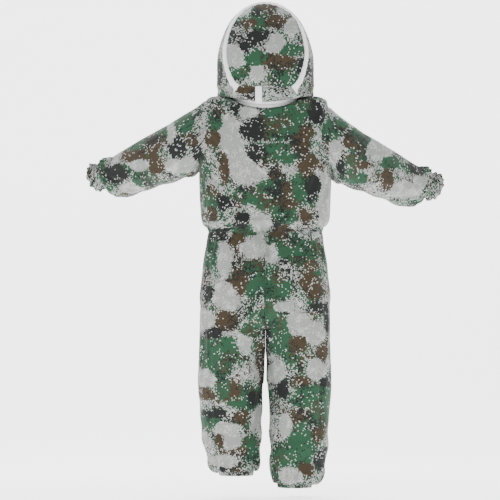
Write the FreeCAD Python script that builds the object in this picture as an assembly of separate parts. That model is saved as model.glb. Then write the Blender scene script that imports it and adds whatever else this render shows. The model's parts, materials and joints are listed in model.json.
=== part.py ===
import FreeCAD, Part
import math
import os

# A one-piece beekeeping suit with its round zip-on veil hood, in the shape that a wearer gives it:
# arms held out, low and forward, feet a little apart.
# Millimetres. +Z is up and the wearer faces -Y, so the wearer's left is +X.
# The origin is the middle of the neckline, where the wearer's shoulders carry the suit.

os.makedirs("parts", exist_ok=True)
V = FreeCAD.Vector
X_AXIS = V(1, 0, 0)
Y_AXIS = V(0, 1, 0)
Z_AXIS = V(0, 0, 1)
FAR = 1500.0

# ---------------------------------------------------------------- driving dimensions
FABRIC = 3.0                 # thickness that stands for the cloth with its seams and folds
LAY = 0.3                    # gap between pieces that lie on each other
CUT = 0.6                    # gap between cloth on either side of a moving joint

# The trunk, as egg-shaped sections: height, half width, reach to the front, reach to the back
TRUNK = [
    (5, 188, 20, 30),
    (0, 200, 40, 54),
    (-12, 212, 64, 84),
    (-32, 221, 88, 108),
    (-60, 226, 111, 122),
    (-95, 229, 130, 132),
    (-120, 230, 137, 137),
    (-140, 231, 138, 140),
    (-220, 231, 138, 144),
    (-300, 229, 138, 142),
    (-380, 221, 138, 134),
    (-440, 208, 138, 121),
    (-472, 199, 138, 112),
    (-505, 208, 138, 120),
    (-560, 226, 138, 134),
    (-640, 236, 138, 144),
    (-720, 238, 138, 146),
    (-770, 196, 122, 130),
    (-800, 118, 92, 98),
    (-812, 40, 44, 46),
]
TRUNK_SQUARE = 2.35          # how square a trunk section is: 2 is an ellipse
WAIST_Z = -472.0
CROTCH_END_Z = -820.0
BODICE_SEAM_DEG = 18.0       # side seams, as an angle round from the wearer's side to the back
SEAT_SEAM_DEG = 32.0
SIDE_SEAM_TOP_Z = -130.0     # inside the armhole, where the side seam ends and the shoulder seam takes over
SHOULDER_SEAM_Y = -5.0

# The legs: height above the hem for the lower part, so that each side keeps its own hem height
LEG_TOP = [(-600, 121, 98, 108), (-700, 121, 113, 124), (-760, 121, 117, 129), (-830, 121, 116, 127),
           (-930, 121, 116, 119), (-1040, 120, 111, 110), (-1150, 118, 104, 103)]
LEG_FOOT = [(95, 114, 96, 98), (55, 109, 86, 90), (30, 104, 72, 76), (18, 102, 57.8, 57.8)]
HEM_Z = {"left": -1316.0, "right": -1358.0}
THIGH_Z = -925.0             # where the rigid thigh starts
KNEE_TOP_Z = -1040.0
KNEE_END_Z = -1160.0
ANKLE_R = 54.0
ANKLE_LONG = 26.0

# The sleeves: distance out along X, then how far the line of the arm is down and forward there
ARMHOLE_X = 225.0
ARM_FORWARD = 0.80
ARM = {"left": (-136.0, 0.393), "right": (-156.0, 0.430)}   # height at x = 250, drop per mm outwards
SLEEVE = [(150, 112, 84), (235, 108, 88), (300, 101, 86), (362, 95, 83), (420, 88, 79), (474, 80, 74),
          (520, 70, 67), (550, 55, 53), (566, 36, 36)]
HEAD_TURN_X = (150.0, 290.0)
SHOULDER_END_X = 325.0       # the rigid upper sleeve starts here
ELBOW_X = (405.0, 475.0)
CUFF_X = 566.0
WRIST_R = 32.0
WRIST_LONG = 24.0
RUFFLE_LONG = 16.0
RUFFLE_R = 45.0

# The neck zip is two half circles that share a diameter over the shoulders
NECK_R = 118.0
NECK_Y = -10.0
NECK_Z = 14.0
FRONT_TILT = 30.0
BACK_TILT = 18.0
TAPE = 1.6                   # tape thickness
TAPE_WIDE = 9.0
TOOTH = 2.0                  # height of each row of teeth
TOOTH_DEEP = 3.0
SEAT_WIDE = 34.5             # flat seat round the front half of the neck zip, for its sliders and pulls
SEAT_LOW = -8.0

# The hood: height, half width, reach to the front, reach to the back, about the neck centre
HOOD = [
    (-60, 117, 104, 117),
    (-50, 118.5, 111, 118),
    (-25, 121, 135, 119),
    (0, 124, 165, 119.5),
    (12, 140, 180, 123),
    (20, 161, 190, 129),
    (32, 171, 202, 137),
    (60, 173, 220, 146),
    (100, 173, 232, 150),
    (147, 171, 232, 150),
    (194, 159, 220, 144),
    (241, 140, 194, 130),
    (279, 115, 158, 108),
    (307, 84, 116, 80),
    (324, 52, 72, 50),
    (331, 24, 34, 23),
]
SKIRT_Z = 32.0
REAR_HOOP = (110.0, -0.214)  # the hoop's plane: y at z = 0, and slope of y over z
FRONT_HOOP = (-62.0, -0.20)
HOOP_WIDE = 15.0
HOOP_THICK = 4.4
WIRE = 1.0
WIRE_PLAY = 0.45             # room round the wire in its channel
CHANNEL_TALL = 3.2           # the channel's height off the cloth, most of the binding's thickness

# Front zip
TAPE_TOP_Z = -88.0
ZIP_END_Z = -722.0
ZIP_GAP = 6.5                # half the gap between the front panels
FRONT_Y = -138.0
SLIDER_Z = -132.0            # where the closed slider stands
SLIDER_LONG = 13.0
PULL_LONG = 27.0
NECK_SLIDER_DEG = 14.0       # each parked neck slider's angle from the middle of the throat

REAR_POCKET = (-191, -86, -749, -557)
CHEST_POCKET = (62, 168, -262, -132)
POCKET_THICK = 2.0
TAB_WIDE = 23.0
TAB_X = 24.5
TAB_LOW = -28.0
TAB_THICK = 1.5

# The throat flap stands off a line down the middle of the throat
FLAP_TOP = V(0, -116, -62)
FLAP_FOOT = V(0, -139, -114)
FLAP_WIDE = 48.0
FLAP_THICK = 2.0
FLAP_LIFT = 2.5


# ---------------------------------------------------------------- building blocks
def save(shape, name):
    solids = [s for s in shape.Solids if s.Volume > 5]
    whole = solids[0] if len(solids) == 1 else Part.makeCompound(solids)
    bad = [s for s in solids if not s.isValid()]
    box = whole.optimalBoundingBox(False) if solids else whole.BoundBox
    print(f"{name}: {len(solids)} solid(s), {sum(s.Volume for s in solids) / 1000:.1f} cm3, "
          f"x {box.XMin:.0f}..{box.XMax:.0f} y {box.YMin:.0f}..{box.YMax:.0f} "
          f"z {box.ZMin:.0f}..{box.ZMax:.0f}{' INVALID' if bad else ''}")
    whole.exportStep(f"parts/{name}.step")
    return whole


def ring(centre, across, deep, wide, front, back, square=2.0, points=16):
    """A closed smooth wire round centre. It reaches wide along across, back along deep, front against it."""
    made = []
    for i in range(points):
        t = 2 * math.pi * i / points
        c, s = math.cos(t), math.sin(t)
        u = wide * math.copysign(abs(c) ** (2 / square), c)
        v = (back if s > 0 else front) * math.copysign(abs(s) ** (2 / square), s)
        made.append(centre + across * u + deep * v)
    curve = Part.BSplineCurve()
    curve.interpolate(made, PeriodicFlag=True)
    return Part.Wire([curve.toShape()])


def loft(rings):
    return Part.makeLoft(rings, True, False)


def slab(low, high, axis=Z_AXIS, at=V(0, 0, 0)):
    """Everything between two distances along an axis from a point."""
    box = Part.makeBox(2 * FAR, 2 * FAR, high - low, V(-FAR, -FAR, low))
    box.Placement = FreeCAD.Placement(at, FreeCAD.Rotation(Z_AXIS, axis))
    return box


def span(x0, x1, y0, y1, z0, z1):
    return Part.makeBox(x1 - x0, y1 - y0, z1 - z0, V(x0, y0, z0))


def prism(outline, z0, z1):
    """A flat outline in X and Y, carried up from z0 to z1."""
    corners = [V(x, y, z0) for x, y in outline]
    return Part.Face(Part.makePolygon(corners + corners[:1])).extrude(V(0, 0, z1 - z0))


def side_sign(side):
    return 1 if side == "left" else -1


# ---------------------------------------------------------------- outer shapes of the suit
def trunk(grow):
    """The trunk from the shoulders to the crotch, grown outwards by so much."""
    rings = []
    for z, wide, front, back in TRUNK:
        lift = grow if z >= 0 else (-grow if z <= -800 else 0)
        centre = V(0, 0, z + lift)
        rings.append(ring(centre, X_AXIS, Y_AXIS, wide + grow, front + grow, back + grow, TRUNK_SQUARE))
    return loft(rings)


def leg(side, grow):
    """One trouser leg down to its elastic hem."""
    s = side_sign(side)
    rows = LEG_TOP + [(HEM_Z[side] + up, x, wide, deep) for up, x, wide, deep in LEG_FOOT]
    return loft([ring(V(s * x, 0, z), X_AXIS, Y_AXIS, wide + grow, deep + grow, deep + grow, 2.1)
                 for z, x, wide, deep in rows])


def arm_point(side, x):
    z_at_250, drop = ARM[side]
    out = x - 250
    return V(side_sign(side) * x, -ARM_FORWARD * (x - ARMHOLE_X), z_at_250 - drop * out)


def arm_line(side):
    return (arm_point(side, 600) - arm_point(side, 300)).normalize()


def sleeve(side, grow):
    """One sleeve, from inside the trunk to its elastic cuff, with sections square to the arm's line."""
    rings = []
    for x, tall, deep in SLEEVE:
        along = arm_line(side)
        if x < HEAD_TURN_X[1]:   # the sleeve head turns to face straight out of the trunk
            turn = (HEAD_TURN_X[1] - x) / (HEAD_TURN_X[1] - HEAD_TURN_X[0])
            along = (along * (1 - turn) + X_AXIS * side_sign(side) * turn).normalize()
        up = (Z_AXIS - along * Z_AXIS.dot(along)).normalize()
        across = along.cross(up).normalize() * -side_sign(side)
        centre = arm_point(side, x)
        if x < ARMHOLE_X:
            centre = V(centre.x, 0, arm_point(side, ARMHOLE_X).z)
        rings.append(ring(centre, up, across, tall + grow, deep + grow, deep + grow, 2.1))
    return loft(rings)


def hood(grow):
    """The whole hood, closed over the crown."""
    last = HOOD[-1][0]
    rings = []
    for z, wide, front, back in HOOD:
        lift = grow if z == last else 0
        rings.append(ring(V(0, NECK_Y, z + lift), X_AXIS, Y_AXIS, wide + grow, front + grow, back + grow, 2.15))
    return loft(rings)


# ---------------------------------------------------------------- neck zip geometry
NECK = V(0, NECK_Y, NECK_Z)
FRONT_UP = V(0, -math.sin(math.radians(FRONT_TILT)), math.cos(math.radians(FRONT_TILT)))
BACK_UP = V(0, math.sin(math.radians(BACK_TILT)), math.cos(math.radians(BACK_TILT)))


def half_disc(half, r, low, high):
    """Half of a cylinder round the neck, from low to high across the zip's line."""
    up = FRONT_UP if half == "front" else BACK_UP
    disc = Part.makeCylinder(r, high - low, NECK + up * low, up)
    y0, y1 = (-FAR, NECK_Y) if half == "front" else (NECK_Y, FAR)
    return disc.common(span(-FAR, FAR, y0, y1, -FAR, FAR))


def neck_band(r0, r1, low, high):
    """A band round the neck, front half and back half joined over the shoulders."""
    halves = [half_disc(h, r1, low, high).cut(half_disc(h, r0, low - 5, high + 5)) for h in ("front", "back")]
    return halves[0].fuse(halves[1]).removeSplitter()


def neck_plug(r, low, high):
    return half_disc("front", r, low, high).fuse(half_disc("back", r, low, high))


def over_neck(low):
    """All the room above the zip's line, by so much, front and back."""
    front = slab(low, FAR, FRONT_UP, NECK).common(span(-FAR, FAR, -FAR, NECK_Y, -FAR, FAR))
    back = slab(low, FAR, BACK_UP, NECK).common(span(-FAR, FAR, NECK_Y, FAR, -FAR, FAR))
    return front.fuse(back)


# ---------------------------------------------------------------- cloth shells
trunk_out, trunk_in = trunk(0), trunk(-FABRIC)
legs_out = {s: leg(s, 0) for s in ("left", "right")}
legs_in = {s: leg(s, -FABRIC) for s in ("left", "right")}
sleeves_out = {s: sleeve(s, 0) for s in ("left", "right")}
sleeves_in = {s: sleeve(s, -FABRIC) for s in ("left", "right")}
seat_top = half_disc("front", NECK_R + SEAT_WIDE, SEAT_LOW, 80)
seat_under = half_disc("front", NECK_R + SEAT_WIDE + FABRIC, SEAT_LOW - FABRIC, 80)
neck_hole = neck_plug(NECK_R + TOOTH_DEEP / 2 + LAY, -60, 80)


def bodice():
    shell = trunk_out.cut(seat_top).cut(trunk_in.cut(seat_under)).common(slab(WAIST_Z, 100))
    for s in ("left", "right"):
        shell = shell.cut(sleeves_out[s])
    shell = shell.cut(neck_hole)
    rise = FAR * math.tan(math.radians(BODICE_SEAM_DEG))
    back_low = prism([(0, 0), (FAR, rise), (FAR, FAR), (-FAR, FAR), (-FAR, rise)], -FAR, SIDE_SEAM_TOP_Z)
    back_high = span(-FAR, FAR, SHOULDER_SEAM_Y, FAR, SIDE_SEAM_TOP_Z, FAR)
    back = shell.common(back_low.fuse(back_high))
    front = shell.cut(back_low.fuse(back_high)).cut(span(-ZIP_GAP, ZIP_GAP, -FAR, 0, -FAR, FAR))
    save(back, "back_bodice_panel")
    save(front.common(span(0, FAR, -FAR, FAR, -FAR, FAR)), "left_front_bodice_panel")
    save(front.common(span(-FAR, 0, -FAR, FAR, -FAR, FAR)), "right_front_bodice_panel")


def trousers():
    """Seat and hips down to the crotch, then each leg in rigid lengths with soft lengths between them."""
    below = slab(CROTCH_END_Z, WAIST_Z - LAY)
    outer = trunk_out.fuse(legs_out["left"]).fuse(legs_out["right"])
    inner = trunk_in.fuse(legs_in["left"]).fuse(legs_in["right"])
    shell = outer.common(below).cut(inner)
    gap = span(-ZIP_GAP, ZIP_GAP, -FAR, 0, ZIP_END_Z, FAR)
    rise = FAR * math.tan(math.radians(SEAT_SEAM_DEG))
    for s in ("left", "right"):
        k = side_sign(s)
        back = prism([(0, 0), (k * FAR, rise), (k * FAR, FAR), (0, FAR)], -FAR, FAR)
        half = span(*sorted((0, k * FAR)), -FAR, FAR, -FAR, FAR)
        save(shell.common(back), f"{s}_back_seat_panel")
        save(shell.common(half).cut(back).cut(gap), f"{s}_front_seat_panel")
        tube = legs_out[s].cut(legs_in[s])
        save(tube.common(slab(THIGH_Z, CROTCH_END_Z)), f"{s}_hip_sleeve")
        save(tube.common(slab(KNEE_TOP_Z, THIGH_Z - CUT)), f"{s}_thigh")
        save(tube.common(slab(KNEE_END_Z, KNEE_TOP_Z)), f"{s}_knee")
        save(tube.common(slab(-FAR, KNEE_END_Z - CUT)), f"{s}_lower_leg")


def sleeves():
    for s in ("left", "right"):
        along = arm_line(s)
        tube = sleeves_out[s].cut(sleeves_in[s])

        def stretch(x0, x1):
            low = (arm_point(s, x0) - arm_point(s, x1)).Length
            return slab(0, low, along, arm_point(s, x0))

        head = tube.cut(trunk_out).common(slab(-FAR, 0, along, arm_point(s, SHOULDER_END_X)))
        half = span(*sorted((0, side_sign(s) * FAR)), -FAR, FAR, -FAR, FAR)
        save(head.common(half), f"{s}_sleeve_head")
        gap = CUT / along.dot(X_AXIS * side_sign(s))
        save(tube.common(stretch(SHOULDER_END_X + gap, ELBOW_X[0])), f"{s}_upper_sleeve")
        save(tube.common(stretch(*ELBOW_X)), f"{s}_elbow")
        save(tube.common(stretch(ELBOW_X[1] + gap, CUFF_X + 30)), f"{s}_lower_sleeve")


def hem_rings(name, at, along, r, long, flare_r, flare_long):
    """An elastic hem: a casing with a flared frill past it, and the elastic sealed inside the casing."""
    wall = 1.2
    band = 1.4
    outer = r + 2 * wall + band
    casing = Part.makeCylinder(outer, long, at, along).cut(Part.makeCylinder(r, long, at, along))
    low, high = at + along * wall, long - 2 * wall
    room = Part.makeCylinder(outer - wall, high, low, along).cut(Part.makeCylinder(r + wall, high, low, along))
    elastic_at, elastic_long = at + along * (wall + LAY), high - 2 * LAY
    elastic = Part.makeCylinder(outer - wall - 0.1, elastic_long, elastic_at, along)
    elastic = elastic.cut(Part.makeCylinder(r + wall + 0.1, elastic_long, elastic_at, along))
    casing = casing.cut(room)
    if flare_long:
        end = at + along * long
        frill = Part.makeCone(outer, flare_r, flare_long, end, along)
        frill = frill.cut(Part.makeCone(outer - FABRIC, flare_r - FABRIC, flare_long, end, along))
        casing = casing.fuse(frill)
    save(casing, f"{name}_casing")
    save(elastic, f"{name}_elastic")


def hems():
    for s in ("left", "right"):
        at = arm_point(s, CUFF_X)
        hem_rings(f"{s}_wrist", at, arm_line(s), WRIST_R, WRIST_LONG, RUFFLE_R, RUFFLE_LONG)
        foot_up, foot_x = LEG_FOOT[-1][:2]
        at = V(side_sign(s) * foot_x, 0, HEM_Z[s] + foot_up)
        hem_rings(f"{s}_ankle", at, -Z_AXIS, ANKLE_R, ANKLE_LONG, ANKLE_R, 0)


def waist():
    """The waist elastic runs in a casing inside the back and the sides, and stops short of the front zip."""
    tall, deep = 34.0, 4.2
    low, high = WAIST_Z - tall / 2, WAIST_Z + tall / 2
    open_front = span(-95, 95, -FAR, 0, -FAR, FAR)
    skin = trunk(-FABRIC - LAY)
    casing = skin.cut(trunk(-FABRIC - LAY - deep)).common(slab(low, high)).cut(open_front)
    room = trunk(-FABRIC - LAY - 1.2).cut(trunk(-FABRIC - LAY - deep + 1.2))
    room = room.common(slab(low + 2, high - 2)).cut(span(-97, 97, -FAR, 0, -FAR, FAR))
    elastic = trunk(-FABRIC - LAY - 1.4).cut(trunk(-FABRIC - LAY - deep + 1.4))
    elastic = elastic.common(slab(low + 2.3, high - 2.3)).cut(span(-98, 98, -FAR, 0, -FAR, FAR))
    save(casing.cut(room), "waist_casing")
    save(elastic, "waist_elastic")


def patches():
    """Patch pockets lie on the cloth: one on the wearer's right seat, one on the left chest."""
    under, over = LAY, LAY + POCKET_THICK
    x0, x1, z0, z1 = REAR_POCKET
    seat = trunk(over).fuse(leg("right", over)).common(span(x0, x1, 20, FAR, z0, z1))
    save(seat.cut(trunk(under)).cut(leg("right", under)), "rear_pocket")
    x0, x1, z0, z1 = CHEST_POCKET
    chest = trunk(over).common(span(x0, x1, -FAR, -20, z0, z1))
    save(chest.cut(trunk(under)), "chest_pocket")


# ---------------------------------------------------------------- front zip
def front_zip():
    inside = FRONT_Y + FABRIC + LAY
    reach = trunk(-FABRIC - LAY).cut(trunk(-FABRIC - LAY - TAPE))
    for s in ("left", "right"):
        k = side_sign(s)
        strip = span(*sorted((k * (TOOTH_DEEP + 0.2), k * 16)), -FAR, 0, ZIP_END_Z, TAPE_TOP_Z)
        save(reach.common(strip), f"{s}_front_zip_tape")
    teeth_top = SLIDER_Z + SLIDER_LONG
    teeth = span(-TOOTH_DEEP, TOOTH_DEEP, FRONT_Y - 0.4, inside + TAPE, ZIP_END_Z + 4, teeth_top)
    stop = span(-TOOTH_DEEP - 1, TOOTH_DEEP + 1, FRONT_Y - 1.4, FRONT_Y + 2, ZIP_END_Z, ZIP_END_Z + 3.8)
    save(Part.makeCompound([teeth, stop]), "front_zip_teeth")


def slider_body():
    """A slider that runs along Z on teeth centred on the origin, with its face and its pull towards -Y."""
    half_teeth, skin, play = TOOTH_DEEP, 1.3, 0.5
    face_y = -2.0 - play
    plate = span(-half_teeth - 2.0, half_teeth + 2.0, face_y - skin, face_y, -SLIDER_LONG / 2, SLIDER_LONG / 2)
    plate = plate.makeFillet(0.5, [e for e in plate.Edges if abs(e.tangentAt(e.FirstParameter).y) > 0.9])
    flanges = [span(*sorted((k * (half_teeth + 0.7), k * (half_teeth + 1.9))), face_y - 0.1, -1.2,
                    -SLIDER_LONG / 2 + 1, SLIDER_LONG / 2 - 1) for k in (1, -1)]
    ears = [span(*sorted((k * 2.3, k * 3.4)), face_y - skin - 3.0, face_y - skin + 0.1, 1.0, 5.0) for k in (1, -1)]
    pin = Part.makeCylinder(0.7, 7.0, pull_pin() - X_AXIS * 3.5, X_AXIS)
    return plate.fuse(flanges + ears + [pin])


def pull_pin():
    return V(0, -2.0 - 0.5 - 1.3 - 1.9, 3.0)


def slider_pull():
    """A flat pull that hangs from the slider's pin by an eye."""
    at = pull_pin()
    eye = Part.makeCylinder(1.7, 4.0, at - X_AXIS * 2.0, X_AXIS)
    blade = span(-2.0, 2.0, at.y - 0.7, at.y + 0.7, at.z - 6, at.z)
    tail = span(-4.2, 4.2, at.y - 0.7, at.y + 0.7, at.z - PULL_LONG, at.z - 5.5)
    tail = tail.makeFillet(2.0, [e for e in tail.Edges if abs(e.tangentAt(e.FirstParameter).y) > 0.9])
    slot = span(-1.6, 1.6, at.y - 2, at.y + 2, at.z - PULL_LONG + 3, at.z - PULL_LONG + 9)
    whole = eye.fuse([blade, tail]).cut(slot)
    return whole.cut(Part.makeCylinder(0.78, 8.0, at - X_AXIS * 4, X_AXIS))


def placed(shape, at, turn):
    made = shape.copy()
    made.Placement = FreeCAD.Placement(at, turn)
    return made


def front_slider():
    at = V(0, FRONT_Y + 1.6, SLIDER_Z)
    straight = FreeCAD.Rotation()
    save(placed(slider_body(), at, straight), "front_zip_slider")
    save(placed(slider_pull(), at, straight), "front_zip_pull")


def neck_frame(side):
    """Place and turn of a parked neck slider: its length runs round the neck, its face out of it."""
    turn = math.radians(NECK_SLIDER_DEG) * side_sign(side)
    ahead = V(0, -math.cos(math.radians(FRONT_TILT)), -math.sin(math.radians(FRONT_TILT)))
    out = ahead * math.cos(turn) + X_AXIS * math.sin(turn)
    round_way = out.cross(FRONT_UP) * side_sign(side)
    across = round_way.cross(out)
    lying = FreeCAD.Rotation(FreeCAD.Matrix(across.x, -out.x, round_way.x, 0,
                                            across.y, -out.y, round_way.y, 0,
                                            across.z, -out.z, round_way.z, 0,
                                            0, 0, 0, 1))
    return NECK + out * NECK_R, lying


def neck_zip():
    r0, r1 = NECK_R - TAPE / 2, NECK_R + TAPE / 2
    t0, t1 = NECK_R - TOOTH_DEEP / 2, NECK_R + TOOTH_DEEP / 2
    save(neck_band(r0, r1, -TOOTH - TAPE_WIDE, -TOOTH - 0.05), "neck_zip_lower_tape")
    save(neck_band(t0, t1, -TOOTH, -0.15), "neck_zip_lower_teeth")
    save(neck_band(t0, t1, 0.15, TOOTH), "neck_zip_upper_teeth")
    save(neck_band(r0, r1, TOOTH + 0.05, TOOTH + TAPE_WIDE), "neck_zip_upper_tape")
    for s in ("left", "right"):
        at, lying = neck_frame(s)
        save(placed(slider_body(), at, lying), f"{s}_neck_zip_slider")
        save(placed(slider_pull(), at, lying), f"{s}_neck_zip_pull")


# ---------------------------------------------------------------- hood
def hoop_slab(plane, half):
    y0, slope = plane
    normal = V(0, 1, -slope).normalize()
    return slab(-half, half, normal, V(0, y0, 0))


def hoop(plane, middle, thick, tall, low):
    """A flat-sided wire that follows the hood along a hoop's plane, its middle so far outside the cloth."""
    y0, slope = plane
    normal = V(0, 1, -slope).normalize()
    sheet = Part.makePlane(2 * FAR, 2 * FAR, V(-FAR, y0, 0) - normal.cross(X_AXIS) * FAR, normal)
    start = sheet.CenterOfMass
    sheet.translate(V(0, y0, 0) - start - normal * (thick / 2))
    ribbon = hood(middle + tall / 2).common(sheet).cut(hood(middle - tall / 2))
    return ribbon.extrude(normal * thick).common(slab(low, FAR))


def behind(plane):
    y0, slope = plane
    normal = V(0, 1, -slope).normalize()
    return slab(0, FAR, normal, V(0, y0, 0))


def hood_pieces():
    outer, inner = hood(0), hood(-FABRIC)
    low = TOOTH + TAPE_WIDE + LAY
    above = slab(SKIRT_Z, FAR)
    upper = outer.cut(inner).common(above)
    skirt = outer.common(over_neck(low)).cut(inner.common(over_neck(low + FABRIC)))
    skirt = skirt.cut(neck_plug(NECK_R - FABRIC, -60, 160))
    save(skirt.common(slab(-FAR, SKIRT_Z - LAY)), "hood_skirt")
    back = behind(REAR_HOOP)
    front = behind(FRONT_HOOP)
    save(upper.common(back), "hood_back_panel")
    save(upper.cut(back).common(front), "hood_crown_band")
    save(upper.cut(front), "veil_mesh")
    middle = LAY + HOOP_THICK / 2
    for name, plane in (("rear", REAR_HOOP), ("front", FRONT_HOOP)):
        band = hood(LAY + HOOP_THICK).common(hoop_slab(plane, HOOP_WIDE / 2)).cut(hood(LAY)).common(above)
        channel = hoop(plane, middle, WIRE + 2 * WIRE_PLAY, CHANNEL_TALL, SKIRT_Z + 3)
        save(band.cut(channel), f"{name}_hoop_binding")
        save(hoop(plane, middle, WIRE, WIRE, SKIRT_Z + 3.2), f"{name}_hoop_wire")


def tab():
    """The white webbing tab that is sewn to the back of the hood and hangs over the neck zip."""
    x0, x1 = TAB_X - TAB_WIDE / 2, TAB_X + TAB_WIDE / 2
    room = span(x0, x1, 0, FAR, TAB_LOW, SKIRT_Z - LAY)
    save(hood(LAY + TAB_THICK).common(room).cut(hood(LAY)), "neck_tab")


def throat_flap():
    """A hook-and-loop flap over the top of the front zip, sewn down its left edge."""
    half, thick = FLAP_WIDE / 2, FLAP_THICK
    up = (FLAP_TOP - FLAP_FOOT).normalize()
    out = X_AXIS.cross(up).normalize()
    if out.y > 0:
        out = -out
    flat = Part.makeBox(FLAP_WIDE, thick, (FLAP_TOP - FLAP_FOOT).Length)
    turn = FreeCAD.Rotation(FreeCAD.Matrix(1, -out.x, up.x, 0, 0, -out.y, up.y, 0, 0, -out.z, up.z, 0, 0, 0, 0, 1))
    flat = flat.makeFillet(0.6, flat.Edges)
    save(placed(flat, FLAP_FOOT + out * (FLAP_LIFT + thick) - X_AXIS * half, turn), "throat_flap")


bodice()
trousers()
sleeves()
hems()
waist()
patches()
front_zip()
front_slider()
neck_zip()
hood_pieces()
tab()
throat_flap()
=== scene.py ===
import json
import math
import random

import bpy
import numpy as np
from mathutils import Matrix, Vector
from mathutils.bvhtree import BVHTree


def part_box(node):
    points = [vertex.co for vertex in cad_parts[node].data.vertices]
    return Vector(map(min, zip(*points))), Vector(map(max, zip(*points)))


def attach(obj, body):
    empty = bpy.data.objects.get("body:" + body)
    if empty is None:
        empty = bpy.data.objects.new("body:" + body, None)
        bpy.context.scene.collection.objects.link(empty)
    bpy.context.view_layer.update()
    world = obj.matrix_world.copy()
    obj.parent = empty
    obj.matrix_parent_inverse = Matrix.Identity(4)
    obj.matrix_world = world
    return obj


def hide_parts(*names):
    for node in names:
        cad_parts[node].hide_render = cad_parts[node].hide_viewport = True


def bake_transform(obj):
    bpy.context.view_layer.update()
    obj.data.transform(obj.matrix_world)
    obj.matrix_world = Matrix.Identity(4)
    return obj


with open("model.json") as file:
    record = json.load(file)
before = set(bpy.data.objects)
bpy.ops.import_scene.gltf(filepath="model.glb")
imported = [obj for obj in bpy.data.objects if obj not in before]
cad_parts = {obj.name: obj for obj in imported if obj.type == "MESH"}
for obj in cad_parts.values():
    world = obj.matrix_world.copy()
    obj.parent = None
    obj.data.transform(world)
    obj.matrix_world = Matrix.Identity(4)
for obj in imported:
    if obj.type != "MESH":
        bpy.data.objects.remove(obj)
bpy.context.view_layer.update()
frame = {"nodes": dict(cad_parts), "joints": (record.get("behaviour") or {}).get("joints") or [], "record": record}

# A beekeeping suit in camouflage cloth with a round zip-on veil hood. Metres, +Z up, the wearer faces -Y.
NODES = frame["nodes"]
MOUNTS = {m["name"]: m for m in frame["record"]["mounts"]}
JOINTS = {j["name"]: j for j in frame["joints"]}
SIDES = (("left", 1), ("right", -1))

# ---------------------------------------------------------------- driving values
CAD_WALL = 0.003             # wall of the CAD's cloth solids
CLOTH = 0.0008               # thickness of the cloth as it is made here
TAPE = 0.0012                # thickness of the zips' tapes
STEP = 0.0065                # spacing of the cloth's mesh before it is smoothed
WAIST_Z = -0.472
CHEST_Z = -0.140             # above this the bodice's rows turn over towards the neckline
ZIP_COLUMNS = 1              # columns of the bodice left open each side of the front zip
NECK = Vector(JOINTS["left_neck_zip"]["pos_m"])
NECK_R = 0.118
FRONT_TILT = math.radians(30)
BACK_TILT = math.radians(18)
NECK_SAG = 0.009             # how far the weight of the hood pulls the back of the neck zip down
CROTCH_Z = -0.822
SEAT_ROUND_Z = -0.742        # below this the seat seam turns under to the crotch
LEG_SPLIT_Z = -0.985
ZIP_FOOT_Z = float(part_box("front_zip_teeth")[0][2])
HOOD_LOW_Z = 0.032
REAR_HOOP = (0.110, -0.214)  # a hoop's plane: y at z = 0 and slope of y over z
FRONT_HOOP = (-0.062, -0.20)
HOOP_FOOT_Z = 0.021
SIM_FRAMES = 22
SIM_REACH = 0.015            # how far the simulation may move a point


# ---------------------------------------------------------------- finding the CAD's surfaces
def tree_of(*names):
    """One search tree over the faces of some CAD nodes."""
    points, faces = [], []
    for name in names:
        mesh = NODES[name].data
        start = len(points)
        points += [v.co.copy() for v in mesh.vertices]
        faces += [[start + i for i in p.vertices] for p in mesh.polygons]
    return BVHTree.FromPolygons(points, faces)


def filled(reach, closed):
    """Fills gaps in a grid of distances with the smooth average of what is around them."""
    gaps = np.isnan(reach)
    if not gaps.any():
        return reach
    reach = np.where(gaps, np.nanmean(reach), reach)
    mode = "wrap" if closed else "edge"
    for _ in range(700):
        side = np.pad(reach, ((0, 0), (1, 1)), mode=mode)
        tall = np.pad(reach, ((1, 1), (0, 0)), mode="edge")
        mean = (side[:, :-2] + side[:, 2:] + tall[:-2] + tall[2:]) / 4
        reach = np.where(gaps, mean, reach)
    return reach


def shoot(tree, origins, ways, closed, wall=CAD_WALL):
    """Where rays from inside leave the CAD's wall, as a grid of points."""
    reach = np.full(origins.shape[:2], np.nan)
    for index in np.ndindex(reach.shape):
        way = Vector(ways[index])
        place, normal, _, distance = tree.ray_cast(Vector(origins[index]), way)
        if place is not None:
            reach[index] = distance + wall / max(0.4, abs(normal.dot(way)))
    return origins + ways * filled(reach, closed)[..., None]


def unit(v):
    """Vectors made one long."""
    return v / np.linalg.norm(v, axis=-1, keepdims=True)


def smooth(t):
    """0 to 1 in a smooth step."""
    t = np.clip(t, 0, 1)
    return t * t * (3 - 2 * t)


def neck_point(angle, r, rise):
    """A point of the neck zip's line: angle 90 degrees is the middle of the back, rise is across the zip."""
    s, c = math.sin(angle), math.cos(angle)
    tilt = BACK_TILT if s > 0 else FRONT_TILT
    lean = BACK_TILT * (1 + s) / 2 - FRONT_TILT * (1 - s) / 2
    flat = Vector((c, s * math.cos(tilt), -abs(s) * math.sin(tilt)))
    sag = Vector((0, 0, -NECK_SAG * max(0.0, s) ** 1.5))
    return NECK + flat * r + Vector((0, math.sin(lean), math.cos(lean))) * rise + sag


def waves(angle, count, seed, rough=1.0):
    """Uneven folds round an elastic: about count of them, from -1 to 1."""
    draw = random.Random(seed)
    total = np.zeros_like(angle)
    for share, step in ((1.0, 0), (0.6, 3), (0.5, -4), (0.35, 7)):
        turn = draw.uniform(0, 6.28)
        total = total + share * np.sin((count + step) * angle + turn + rough * np.sin(2 * angle + turn))
    return total / 1.6


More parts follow.
